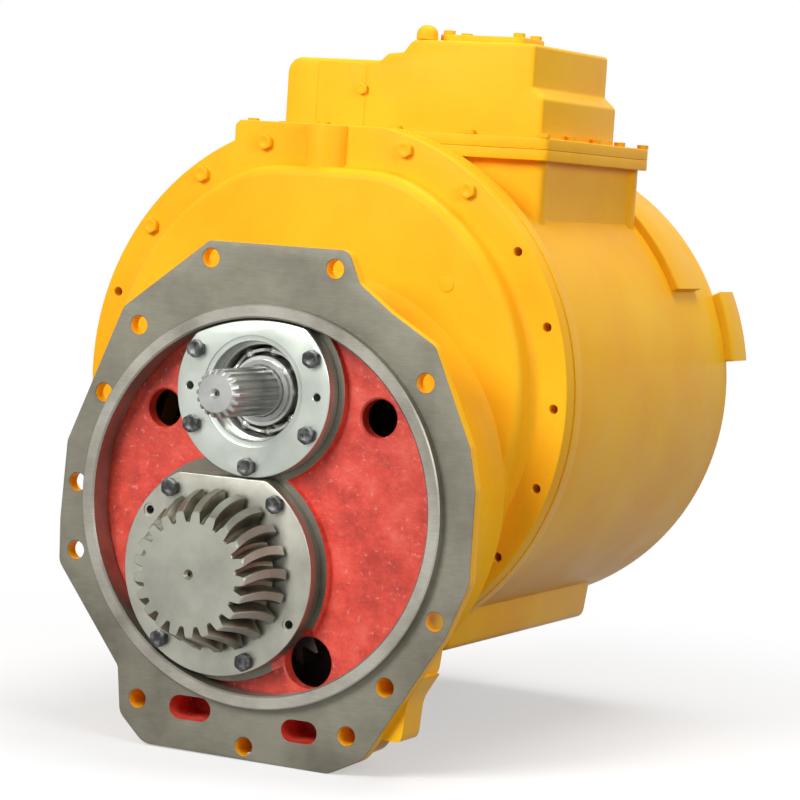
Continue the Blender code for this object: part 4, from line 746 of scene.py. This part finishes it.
def boss_face(bm, r, axis):
    """Raised round face with a rim outside the cover, cut back at the pilot bore."""
    prism(bm, within(disc(96, r + BOSS_RIM, axis), PILOT_BORE_R + 3), BOSS_Y, WALL_BACK - 2)


def upper_boss(bm):
    boss_face(bm, COVER_R, INPUT)


def lower_boss(bm):
    boss_face(bm, CAGE_R, PINION)


def flange_holes(bm):
    for x, z in FLANGE_HOLES:
        loft(bm, ((-5, circle(32, FLANGE_HOLE_R + 4, x, z)), (-0.2, circle(32, FLANGE_HOLE_R + 1, x, z)),
                  (0.9, circle(32, FLANGE_HOLE_R, x, z)),
                  (FLANGE_THICK + 26, circle(32, FLANGE_HOLE_R, x, z))))


def wall_openings(bm):
    prism(bm, disc(96, OUTER_RING[1] + SEAT_GAP, INPUT), BOSS_Y - PAST, BEARING_BACK + SEAT_GAP)
    prism(bm, disc(96, CAGE_SPIGOT_R + SEAT_GAP, PINION), BOSS_Y - PAST, WALL_BACK + PAST)
    for x, z, r in WALL_HOLES:
        loft(bm, ((BOSS_Y - PAST, circle(48, r + 16, x, z)), (WALL_Y, circle(48, r + 2.0, x, z)),
                  (WALL_Y + 2, circle(48, r, x, z)), (WALL_BACK + PAST, circle(48, r, x, z))))
    for slot in DRAIN_SLOTS:
        prism(bm, slot_outline(*slot), -5, 62)


def shaft_opening(bm):
    prism(bm, disc(64, OUTER_RING[1] - 7, INPUT), BOSS_Y, WALL_BACK + PAST)


def bolt_holes(bm):
    upper = around(COVER_BOLT_R, COVER_BOLT_ANGLES, INPUT)
    for x, z in upper + around(CAGE_BOLT_R, CAGE_BOLT_ANGLES, PINION):
        prism(bm, circle(24, M12_THREAD_R, x, z), BOSS_Y - PAST, BOSS_Y + 20)


def ring_places(numbers):
    return around(RING_BOLT_R, [360 / RING_HOLES * k for k in numbers], INPUT)


def ring_holes(bm):
    for x, z in ring_places([k for k in range(RING_HOLES) if k not in RING_BOLTED]):
        loft(bm, ((RING_FRONT - PAST, circle(20, 11.0, x, z)), (RING_FRONT, circle(20, 6.0, x, z)),
                  (RING_FRONT + 1, circle(20, RING_HOLE_R, x, z)),
                  (RING_BACK + PAST, circle(20, RING_HOLE_R, x, z))))


def ring_bolts(bm):
    for x, z in ring_places(RING_BOLTED):
        hex_bolt(bm, (x, RING_FRONT + 0.4, z), (0, -1, 0), M10, 20)


def casting_mark(bm):
    """Small round pad left by the mould on the shoulder face."""
    x, z, r = CASTING_MARK
    slab(bm, circle(40, r, x, z), SHOULDER_Y - 1.2, SHOULDER_Y + 4, 0.8, 0)


def in_drain_slot(points):
    return any(all(abs(p.x - x) < length / 2 + 1 and abs(p.z - z) < height / 2 + 1 for p in points)
               for x, z, length, height in DRAIN_SLOTS)


def front_case_rule(points, normal):
    """0 yellow, 1 red, 2 flange, 3 pilot ring, 4 boss, 5 painted shade inside."""
    near, far = min(p.y for p in points), max(p.y for p in points)
    inner, outer = min(math.hypot(p.x, p.z) for p in points), max(math.hypot(p.x, p.z) for p in points)
    if in_drain_slot(points) and far > 1:
        return 1
    if inner > PILOT_BORE_R - 0.6 and outer < SPIGOT_R + 0.7 and far < WALL_Y + 0.1:
        return 3
    if far < 1.1 and inner > SPIGOT_R - 1:
        return 2
    if outer < PILOT_BORE_R + 4 and near < WALL_BACK - 1 and far < WALL_BACK + 0.5:
        return 4 if far < BOSS_Y + 0.05 and normal.y < -0.9 else 1
    # Gear chamber walls and faces behind the ring get the painted shade
    if near > WALL_BACK - 3 and outer < CHAMBER_R + 0.5 and far < CHAMBER_BACK + 0.5:
        return 5
    if near > RING_BACK - 0.5 or (near > CHAMBER_BACK - 1 and outer < CHAMBER_R and normal.y > 0.9):
        return 5
    return 0


piece("front_case_cast", "front_case", (YELLOW, RED, FLANGE_STEEL, BORE_STEEL, BOSS_STEEL, INSIDE_PAINTED_SHADE),
      front_flange,
      *union(neck, spigot, lower_body, foot, shoulder, bolting_ring, passage_boss, casting_mark),
      *cut(pilot_bore, gear_chamber, passage, cavity), *union(upper_boss, lower_boss),
      *cut(flange_holes, wall_openings, shaft_opening, bolt_holes, ring_holes), rule=front_case_rule)
ring_bolt_set = dress(build("ring_bolt_set", ring_bolts), (YELLOW,))
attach(ring_bolt_set, "casing")


# Main case
def case_flange(bm):
    front = RING_BACK + SEAT_GAP
    slab(bm, ring_outline(CASE_FLANGE_R), front, front + CASE_FLANGE_THICK, 0, 2.5)


def barrel(bm):
    profile = [(0, RING_BACK + 2.3), (BARREL_R, RING_BACK + 2.3)]
    for a in quarter(6):
        profile.append((BARREL_R - BARREL_EDGE * (1 - math.cos(a)),
                        BARREL_REAR - BARREL_EDGE * (1 - math.sin(a))))
    turned(bm, profile + [(0, BARREL_REAR)], INPUT, 160)


def chamber_outline():
    x0, x1, y0, y1 = CHAMBER
    return rounded(((x0, y0, 14), (x1, y0, 10), (x1, y0 + 22, 9), (x1 - 5, y0 + 26, 2), (x1 - 5, y1 - 26, 2),
                    (x1, y1 - 22, 9), (x1, y1, 10), (x0, y1, 14)), 5)


def sump_block(bm):
    x0, x1, z0, y0, y1 = SUMP
    outline = rounded(((x0, z0 + 60, 0), (x0 + 8, z0, 12), (x1 - 8, z0, 12), (x1, z0 + 60, 0)))
    slab(bm, outline, y0, y1, 5, 5)


def top_clearing(bm):
    """Takes the barrel's crest away under the valve chamber."""
    box(bm, INPUT.x - 90, INPUT.x + 90, CHAMBER_FLANGE[2] - 1, CHAMBER_FLANGE[3] + 1, CHAMBER_TOP - PAST,
        INPUT.z + BARREL_R + PAST)


def valve_chamber(bm):
    stack(bm, ((INPUT.z + 150, chamber_outline()), (CHAMBER_TOP - 2, chamber_outline())))


def chamber_flange(bm):
    plate(bm, rectangle(*CHAMBER_FLANGE, 12), CHAMBER_TOP - CHAMBER_FLANGE_THICK, CHAMBER_TOP, 1.5, 0.6)


def oil_band(bm):
    y0, y1, a0, a1, height = OIL_BAND
    arc_band(bm, BARREL_R - 6, BARREL_R + height, a0, a1, y0, y1, 2.5)


def case_hollow(bm):
    inner, end = BARREL_R - BARREL_WALL, BARREL_REAR - REAR_WALL
    turned(bm, ((0, RING_BACK - PAST), (inner, RING_BACK - PAST), (inner, end), (0, end)), INPUT, 96)


def sump_hollow(bm):
    x0, x1, z0, y0, y1 = SUMP
    box(bm, x0 + 34, x1 - 34, y0 + 14, y1 - 14, z0 + BARREL_WALL, INPUT.z - BARREL_R + 62)


def chamber_hollow(bm):
    x0, x1, y0, y1 = CHAMBER
    box(bm, x0 + BARREL_WALL, x1 - BARREL_WALL, y0 + BARREL_WALL, y1 - BARREL_WALL, INPUT.z + BARREL_R - 77,
        CHAMBER_TOP - CHAMBER_FLANGE_THICK - 2)


def rear_opening(bm):
    prism(bm, disc(64, REAR_BORE_R, INPUT), BARREL_REAR - REAR_WALL - PAST, BARREL_REAR + PAST)


def rear_lug(bm):
    y0, y1, a0, a1, height = REAR_LUG
    arc_band(bm, BARREL_R - BARREL_EDGE, BARREL_R + height, a0, a1, y0, y1, 3.0)


def rear_lug_hole(bm):
    """Dark blind hole in the right end of the lug."""
    x, z = spot(BARREL_R + 2, math.radians(9.0), INPUT)
    stack(bm, [(z + h, circle(20, 7, x - 2, REAR_LUG[1] - 14)) for h in (-22, 8)])


def main_case_rule(points, normal):
    """0 yellow, 1 painted shade inside the barrel near the open front."""
    inside = all(math.hypot(p.x - INPUT.x, p.z - INPUT.z) < BARREL_R - BARREL_WALL + 0.5 for p in points)
    return int(inside and min(p.y for p in points) < RING_BACK + 40)


piece("main_case_cast", "main_case", (YELLOW, INSIDE_PAINTED_SHADE), case_flange, *union(barrel, sump_block),
      *cut(top_clearing), *union(valve_chamber, chamber_flange, oil_band, rear_lug),
      *cut(rear_lug_hole, case_hollow, sump_hollow, chamber_hollow, rear_opening), rule=main_case_rule)


# Rear cover
def rear_cover_plate(bm):
    """Round plate with a hollow pilot that holds the rear bearing."""
    face, back = BARREL_REAR + REAR_COVER_FACE, BARREL_REAR + SEAT_GAP
    pilot_r, pilot_end = REAR_BORE_R - SEAT_GAP, BARREL_REAR - REAR_WALL - REAR_PILOT
    turned(bm, ((0, face), (REAR_COVER_R - 3, face), (REAR_COVER_R - 0.8, face - 1), (REAR_COVER_R, face - 3),
                (REAR_COVER_R, back), (pilot_r, back), (pilot_r, pilot_end), (REAR_COVER_BORE_R, pilot_end),
                (REAR_COVER_BORE_R, back), (0, back)), INPUT, 96)


def rear_cover_bolts(bm):
    seat = BARREL_REAR + REAR_COVER_FACE
    for x, z in around(REAR_BOLT_R, range(0, 360, 60), INPUT):
        hex_bolt(bm, (x, seat - SINK, z), (0, 1, 0), M12, 14)


piece("rear_cover_cast", "rear_cover", (YELLOW,), rear_cover_plate, *union(rear_cover_bolts))


# Valve cover
def cover_corners():
    """Corners of the stepped front with their radii, from the lower left round to the upper left."""
    low = CHAMBER_TOP + 4
    left, right = COVER_SIDES
    return ((left, low, 0), (right, low, 0), (right, COVER_STEP_Z - 7, 7),
            (COVER_UPPER_RIGHT, COVER_STEP_Z + 6, 5), (COVER_UPPER_RIGHT, HIGH_TOP, 5),
            (HIGH_LEFT, HIGH_TOP, 14), (HIGH_LEFT - 12, LOW_TOP + 11, 5),
            (HIGH_LEFT - 32, LOW_TOP + 9, 5), (HIGH_LEFT - 42, LOW_TOP, 5), (left, LOW_TOP, 17))


def cover_flange(bm):
    low, high = CHAMBER_TOP + SEAT_GAP, CHAMBER_TOP + COVER_FLANGE_THICK
    plate(bm, rectangle(*CHAMBER_FLANGE, 12), low, high, 0.6, 1.8)


def cover_body(bm):
    slab(bm, rounded(cover_corners(), 6), COVER_Y[0], COVER_Y[1], 4.5, 5.0)


def front_step(number):
    """Shallow pad at the left of the cover's front; the narrower one is the prouder."""
    right, proud = FRONT_STEPS[number]
    left = COVER_SIDES[0] + 0.6 + number * 0.4
    outline = rounded(((left, CHAMBER_TOP + 5, 0), (right, CHAMBER_TOP + 5, 0), (right, LOW_TOP - 4, 6),
                       (left, LOW_TOP - 1 - number, 17)), 6)
    return lambda bm: slab(bm, outline, COVER_Y[0] - proud, COVER_Y[0] + 16, 1.6, 0)


def front_screw(bm):
    x, z = FRONT_SCREW
    hex_bolt(bm, (x, COVER_Y[0] - FRONT_STEPS[1][1] + SINK, z), (0, -1, 0), LOW_M8, 5)


def cover_hollow(bm):
    inside = inset([corner[:2] for corner in cover_corners()], COVER_WALL)
    outline = [(x, z - 40 if z < CHAMBER_TOP + 20 else z) for x, z in inside]
    prism(bm, outline, COVER_Y[0] + COVER_WALL, COVER_Y[1] - COVER_WALL)


def rim_places():
    x0, x1, y0, y1 = CHAMBER_FLANGE
    x0, x1, y0, y1 = x0 + RIM_INSET, x1 - RIM_INSET, y0 + RIM_INSET, y1 - RIM_INSET
    across = [x0 + (x1 - x0) * k / 4 for k in range(5)]
    along = [y0 + (y1 - y0) * k / 4 for k in range(1, 4)]
    return [(x, y) for y in (y0, y1) for x in across] + [(x, y) for x in (x0, x1) for y in along]


def rim_bolts(bm):
    for x, y in rim_places():
        hex_bolt(bm, (x, y, CHAMBER_TOP + COVER_FLANGE_THICK - SINK), (0, 0, 1), M8, 13)


piece("valve_cover_cast", "valve_cover", (YELLOW,), cover_flange,
      *union(cover_body, front_step(0), front_step(1)), *cut(cover_hollow), *union(front_screw, rim_bolts))


def top_plate_solid(bm):
    x0, x1, y0, y1, thick = TOP_PLATE
    plate(bm, rectangle(x0, x1, y0, y1, 9), HIGH_TOP + SEAT_GAP, HIGH_TOP + thick, 0.5, 1.6)


def top_plate_bolts(bm):
    x0, x1, y0, y1, thick = TOP_PLATE
    for x in (x0 + 10, x1 - 10):
        for y in (y0 + 10, y1 - 10):
            hex_bolt(bm, (x, y, HIGH_TOP + thick - SINK), (0, 0, 1), M8, 12)


piece("top_plate_cast", "top_plate", (YELLOW,), top_plate_solid, *union(top_plate_bolts))


def breather_cap(bm):
    base = HIGH_TOP + SEAT_GAP
    sections = [(base - COVER_WALL, 6.0), (base, 6.0), (base, 12.0), (base + 0.6, 13.0), (base + 7, 13.0)]
    for k in range(1, 8):
        a = math.pi / 2 * k / 8
        sections.append((base + 7 + 11 * math.sin(a), 13.0 * math.cos(a)))
    stack(bm, [(z, circle(40, r, *BREATHER)) for z, r in sections])


piece("breather_cap", "breather", (YELLOW,), breather_cap)


# Upper bearing cover
def upper_cover_body(bm):
    slab(bm, trimmed(160, COVER_R, INPUT), COVER_FACE, COVER_BACK, 1.6, 0.6)


def upper_cover_opening(bm):
    r, face, back = COVER_OPENING_R, COVER_FACE, COVER_BACK + PAST
    turned(bm, ((0, face - PAST), (r + 7, face - PAST), (r + 7, face + 1.6), (r + 5, face + 2.0),
                (r + 0.8, face + 2.0), (r, face + 2.8), (r, back), (0, back)), INPUT, 128)


def upper_cover_holes(bm):
    for x, z in around(COVER_BOLT_R, COVER_BOLT_ANGLES, INPUT):
        prism(bm, circle(24, M12_CLEAR_R, x, z), COVER_FACE - PAST, COVER_BACK + PAST)
    for x, z in around(COVER_BOLT_R - 4, (180, 0), INPUT):
        loft(bm, ((COVER_FACE - 2, circle(24, 7.5, x, z)), (COVER_FACE + 1, circle(24, 4.5, x, z)),
                  (COVER_BACK + PAST, circle(24, 4.5, x, z))))


piece("upper_cover", "input_bearing_cover", (COVER_STEEL,), upper_cover_body,
      *cut(upper_cover_opening, upper_cover_holes))


# Lower bearing cage, with shims under its flange
def cage_flange(bm):
    outline = trimmed(176, CAGE_R, PINION, CAGE_CHORD)
    slab(bm, outline, CAGE_FACE, 3.6, 1.6, 0.4)


def cage_shims(bm):
    full = trimmed(176, CAGE_R, PINION, CAGE_CHORD)
    groove = inset(full, 1.6)
    loft(bm, ((3.0, groove), (4.4, groove), (4.4, full), (6.6, full), (6.6, groove), (7.4, groove),
              (7.4, full), (9.4, full), (9.4, groove), (10.2, groove), (10.2, full), (COVER_BACK, full)))


def cage_spigot(bm):
    prism(bm, disc(96, CAGE_SPIGOT_R, PINION), COVER_BACK - 3, CAGE_SPIGOT_END)


def cage_bore(bm):
    r, face, end = CAGE_LIP_R, CAGE_FACE, CAGE_SPIGOT_END + PAST
    turned(bm, ((0, face - PAST), (r + 2, face - PAST), (r + 2, face), (r, face + 2), (r, -4),
                (CAGE_BORE_R, -4), (CAGE_BORE_R, end), (0, end)), PINION, 96)


def cage_holes(bm):
    for x, z in around(CAGE_BOLT_R, CAGE_BOLT_ANGLES, PINION):
        prism(bm, circle(24, M12_CLEAR_R, x, z), CAGE_FACE - PAST, COVER_BACK + PAST)
    for x, z in around(CAGE_BOLT_R, CAGE_JACK_ANGLES, PINION):
        rim, thread = circle(32, JACK_RIM_R, x, z), circle(32, JACK_R, x, z)
        loft(bm, ((CAGE_FACE - PAST, rim), (CAGE_FACE + 1.2, rim), (CAGE_FACE + 1.3, thread),
                  (COVER_BACK + PAST, thread)))


piece("lower_cage", "pinion_bearing_cage", (CAGE_STEEL,), cage_flange,
      *union(cage_shims, cage_spigot), *cut(cage_bore, cage_holes))


# Dark screws of both covers
def dark_screws(node, r, angles, axis, face):
    for number, (x, z) in enumerate(around(r, angles, axis), 1):
        high = node_box(f"{node}_{number}")[1]
        piece(f"{node}_{number}_screw", f"{node}_{number}", (BOLT_BLACK,),
              lambda bm: hex_bolt(bm, (x, face - SINK, z), (0, -1, 0), M12, high.y - face + 0.2))


dark_screws("input_cover_bolt", COVER_BOLT_R, COVER_BOLT_ANGLES, INPUT, COVER_FACE)
dark_screws("pinion_cage_bolt", CAGE_BOLT_R, CAGE_BOLT_ANGLES, PINION, CAGE_FACE)


# Input shaft
def spline(bm):
    """Straight-sided teeth with rounded roots, chamfered at the front."""
    flank = [(SPLINE_ROOT_R, -0.78), (SPLINE_ROOT_R + 0.4, -0.60), (SPLINE_R - 0.5, -0.44), (SPLINE_R, -0.36)]
    outline = []
    for k in range(SPLINE_TEETH):
        middle = 2 * math.pi * k / SPLINE_TEETH
        half = math.pi / SPLINE_TEETH
        for r, a in flank + [(r, -a) for r, a in flank[::-1]]:
            outline.append(spot(r, middle + a * half, INPUT))
    chamfer = [(SHAFT_FACE + y, within(outline, r, INPUT)) for y, r in ((0, 21.0), (0.8, 21.8), (6.5, 27.6))]
    loft(bm, chamfer + [(8.0, outline)])


def shaft_body(bm):
    end = node_box("input_shaft")[1].y
    turned(bm, ((0, 5), (JOURNAL_R - 0.7, 5), (JOURNAL_R, 6), (JOURNAL_R, BEARING_BACK + 2),
                (SHAFT_R, BEARING_BACK + 6), (SHAFT_R, end), (0, end)), INPUT, 72)


def centre_hole(face, axis):
    profile = ((0, -1), (6.5, -1), (6.0, 0), (2.6, 3.4), (2.6, 9), (0, 9))
    return lambda bm: turned(bm, [(r, face + y) for r, y in profile], axis, 32)


piece("input_shaft_splined", "input_shaft", (SHAFT_STEEL,), spline, *union(shaft_body),
      *cut(centre_hole(SHAFT_FACE, INPUT)), body="input_train")


# Input bearing
def raceway(back_r, land_r):
    """Ground ring with a ball groove in its land."""
    depth = RACE_DEPTH if land_r > back_r else -RACE_DEPTH
    shoulder_y = BEARING_FRONT + RACE_CHAMFER
    profile = [(back_r, shoulder_y), (back_r + depth, BEARING_FRONT), (land_r - depth, BEARING_FRONT),
               (land_r, shoulder_y)]
    for k in range(9):
        t = -1 + k / 4
        profile.append((land_r - depth * (1 - t * t), BEARING_MIDDLE + RACE_HALF * t))
    profile += [(land_r, BEARING_BACK), (back_r, BEARING_BACK)]
    return lambda bm: turned(bm, profile, INPUT, 96)


for node, back, land, body in (("input_bearing_inner_ring", *INNER_RING, "input_train"),
                               ("input_bearing_outer_ring", *OUTER_RING[::-1], "casing")):
    piece(f"{node}_ground", node, (BEARING_STEEL,), raceway(back, land), body=body)


def ball_set(bm):
    for x, z in around(BALL_ORBIT, [360 / BALLS * k for k in range(BALLS)], INPUT):
        ball = bmesh.ops.create_icosphere(bm, subdivisions=3, radius=BALL_R)
        bmesh.ops.translate(bm, verts=ball["verts"], vec=(x, BEARING_MIDDLE, z))


def ball_cage(bm):
    """Ribbon that swells round each ball and narrows between them."""
    n = BALLS * 16
    rings = []
    for out, side in ((-1, -1), (1, -1), (1, 1), (-1, 1)):
        ring = []
        for i in range(n):
            a = 2 * math.pi * i / n
            half = RIBBON_NARROW + RIBBON_SWELL * (0.5 + 0.5 * math.cos(a * BALLS))
            x, z = spot(BALL_ORBIT + out * RIBBON_HALF, a, INPUT)
            ring.append(bm.verts.new((x, BEARING_MIDDLE + side * half, z)))
        rings.append(ring)
    bridge(bm, rings, closed=True)


piece("input_bearing_balls", "input_bearing_ball_cage", (BEARING_STEEL,), ball_cage, *union(ball_set),
      body="input_bearing_balls", sharp=40)


# Spiral bevel pinion
def tooth_section(t):
    """Tooth outline at t, from 0 at the toe to 1 at the heel."""
    tip = PINION_TIP[0] + (PINION_TIP[1] - PINION_TIP[0]) * t
    depth = PINION_DEPTH[0] + (PINION_DEPTH[1] - PINION_DEPTH[0]) * t
    turn = PINION_SPIRAL * t - PINION_SPIRAL_BACK * t * t
    step = 2 * math.pi / PINION_TEETH
    half = ((1.0, -0.43), (0.985, -0.385), (0.88, -0.345), (0.66, -0.31), (0.40, -0.275), (0.16, -0.235),
            (0.04, -0.205), (0.0, -0.18))
    points = []
    for k in range(PINION_TEETH):
        for down, a in half + tuple((down, -a) for down, a in half[::-1]):
            points.append(spot(tip - depth * down, (k + a) * step + turn, PINION))
    return points


def about_pinion(outline, scale):
    return [(PINION.x + (x - PINION.x) * scale, PINION.z + (z - PINION.z) * scale) for x, z in outline]


def pinion_head(bm):
    start = PINION_FACE + PINION_CHAMFER
    teeth = [(start + (PINION_HEEL - start) * k / 16, tooth_section(k / 16)) for k in range(17)]
    loft(bm, [(PINION_FACE, about_pinion(teeth[0][1], 0.985)), *teeth,
              (PINION_HEEL + 2.5, about_pinion(teeth[-1][1], 0.82))])


def pinion_body(bm):
    profile = [(0, PINION_FACE + 20), (PINION_NECK_R, PINION_FACE + 20)]
    for r, y in PINION_STEPS:
        profile += [(profile[-1][0], y), (r, y)]
    end = node_box("pinion_shaft")[1].y
    turned(bm, profile + [(profile[-1][0], end), (0, end)], PINION, 72)


def pinion_rule(points, normal):
    """1 for the end face and the tops of the teeth, 0 for the flanks and the rest."""
    start = PINION_FACE + PINION_CHAMFER
    if max(p.y for p in points) < start + 0.1:
        return 1
    for p in points:
        t = (p.y - start) / (PINION_HEEL - start)
        top = PINION_TIP[0] + (PINION_TIP[1] - PINION_TIP[0]) * t
        if not -0.01 < t < 1.01 or math.hypot(p.x - PINION.x, p.z - PINION.z) < top - 0.6:
            return 0
    return 1


piece("bevel_pinion", "pinion_shaft", (PINION_TOOTH, PINION_FACE_STEEL), pinion_head, *union(pinion_body),
      *cut(centre_hole(PINION_FACE, PINION)), body="pinion_train", rule=pinion_rule, sharp=38)


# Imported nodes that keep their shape
finishes = {
    BEARING_STEEL: ["pinion_bearing_cone", "pinion_bearing_cup", "pinion_tail_bearing", "sleeve_bearing",
                    "input_rear_bearing"],
    GEAR_STEEL: ["drive_gear", "driven_gear", "planet_carrier", "output_sleeve", "pinion_spacer",
                 "direction_spool", "speed_spool"],
    BOSS_STEEL: ["centre_support", "valve_body"],
    LINING: [],
    SHAFT_STEEL: ["input_snap_ring"]}
for stage in ("speed", "forward"):
    finishes[GEAR_STEEL] += [f"{stage}_{part}" for part in (
        "ring_gear", "sun_gear", "planet_1", "planet_2", "planet_3", "clutch_plate", "clutch_piston")]
    finishes[BOSS_STEEL].append(f"{stage}_clutch_housing")
    finishes[LINING] += [f"{stage}_clutch_disc_{number}" for number in (1, 2)]
for finish, names in finishes.items():
    for name in names:
        frame["nodes"][name].data.materials.clear()
        frame["nodes"][name].data.materials.append(finish)


# Floor, light and camera
PALE, BOUNCE = (0.92, 0.92, 0.92), (0.16, 0.15, 0.14)
FADE, NEAR_GLOW = (0.45, 1.25), 0.45        # metres from the middle, glow of the near floor
AMBIENT = 0.30
AIM = (0.0, 0.0, 0.45)
LAMPS = (("key", (-1.2, -4.4, 2.9), 2.4, 228), ("fill", (3.9, -2.0, 2.2), 2.0, 76),
         ("top", (0.6, 0.8, 3.6), 2.0, 68))        # name, place, size, power
LENS, SENSOR = 135.0, 36.0
CAMERA_AXES = ((0.8976, -0.0878, 0.4321), (0.4362, 0.0335, -0.8992), (0.0645, 0.9956, 0.0683))
CAMERA_PLACE = (1.6208, -3.3390, 0.6575)


def seen_directly(made):
    """1 for camera, glossy and transmission rays, 0 for the rest."""
    path = add_node(made, "LightPath")
    total = path.outputs["Is Camera Ray"]
    for ray in ("Is Glossy Ray", "Is Transmission Ray"):
        both = add_node(made, "Math", operation="MAXIMUM")
        link(made, total, both, 0)
        link(made, path.outputs[ray], both, 1)
        total = both.outputs[0]
    return total


def floor_paint():
    """Pale where seen directly, darker for bounced light, and white glow that grows with the distance."""
    made = material("floor_pale", PALE, 0.9, specular=0.0)
    seen = seen_directly(made)
    to_shader(made, mix_colour(made, seen, BOUNCE, PALE), "Base Color")
    reach = add_node(made, "VectorMath", operation="LENGTH")
    link(made, add_node(made, "TexCoord").outputs["Object"], reach, 0)
    near, far = FADE
    fade = map_range(made, reach.outputs["Value"], interpolation_type="SMOOTHSTEP",
                     From_Min=near, From_Max=far, To_Min=NEAR_GLOW, To_Max=1.0)
    glowing = add_node(made, "Math", operation="MULTIPLY")
    link(made, seen, glowing, 0)
    link(made, fade, glowing, 1)
    mix = add_node(made, "MixShader")
    shader, glow = made.node_tree.nodes["Principled BSDF"], add_node(made, "Emission", Strength=1.0)
    for socket, node in enumerate((glowing, shader, glow)):
        link(made, node.outputs[0], mix, socket)
    link(made, mix.outputs[0], made.node_tree.nodes["Material Output"], 0)
    return made


def floor():
    """Pale floor that keeps the shadow close to the object and fades to the white of the backdrop."""
    bm = bmesh.new()
    bmesh.ops.create_grid(bm, x_segments=2, y_segments=2, size=40.0)
    mesh = bpy.data.meshes.new("floor")
    bm.to_mesh(mesh)
    bm.free()
    mesh.materials.append(floor_paint())
    obj = bpy.data.objects.new("floor", mesh)
    obj.location.z = CAD_BOX[0][2]
    bpy.context.scene.collection.objects.link(obj)


def area_light(name, place, size, power):
    data = bpy.data.lights.new(name, "AREA")
    data.shape = "DISK"
    data.size = size
    data.energy = power
    lamp = bpy.data.objects.new(name, data)
    lamp.location = place
    lamp.rotation_euler = (Vector(AIM) - Vector(place)).to_track_quat("-Z", "Y").to_euler()
    bpy.context.scene.collection.objects.link(lamp)


def world():
    made = bpy.data.worlds.new("studio")
    bpy.context.scene.world = made
    made.use_nodes = True
    background = made.node_tree.nodes["Background"]
    background.inputs["Color"].default_value = (1, 1, 1, 1)
    link(made, map_range(made, seen_directly(made), To_Min=AMBIENT, To_Max=1.0), background, "Strength")


floor()
world()
for lamp in LAMPS:
    area_light(*lamp)

camera_data = bpy.data.cameras.new("camera")
camera_data.sensor_width = SENSOR
camera_data.lens = LENS
camera_data.clip_end = 100.0
camera = bpy.data.objects.new("camera", camera_data)
rows = [(*axes, place) for axes, place in zip(CAMERA_AXES, CAMERA_PLACE)]
camera.matrix_world = Matrix(rows + [(0, 0, 0, 1)])
bpy.context.scene.collection.objects.link(camera)
bpy.context.scene.camera = camera
bpy.context.scene.view_settings.view_transform = "Standard"
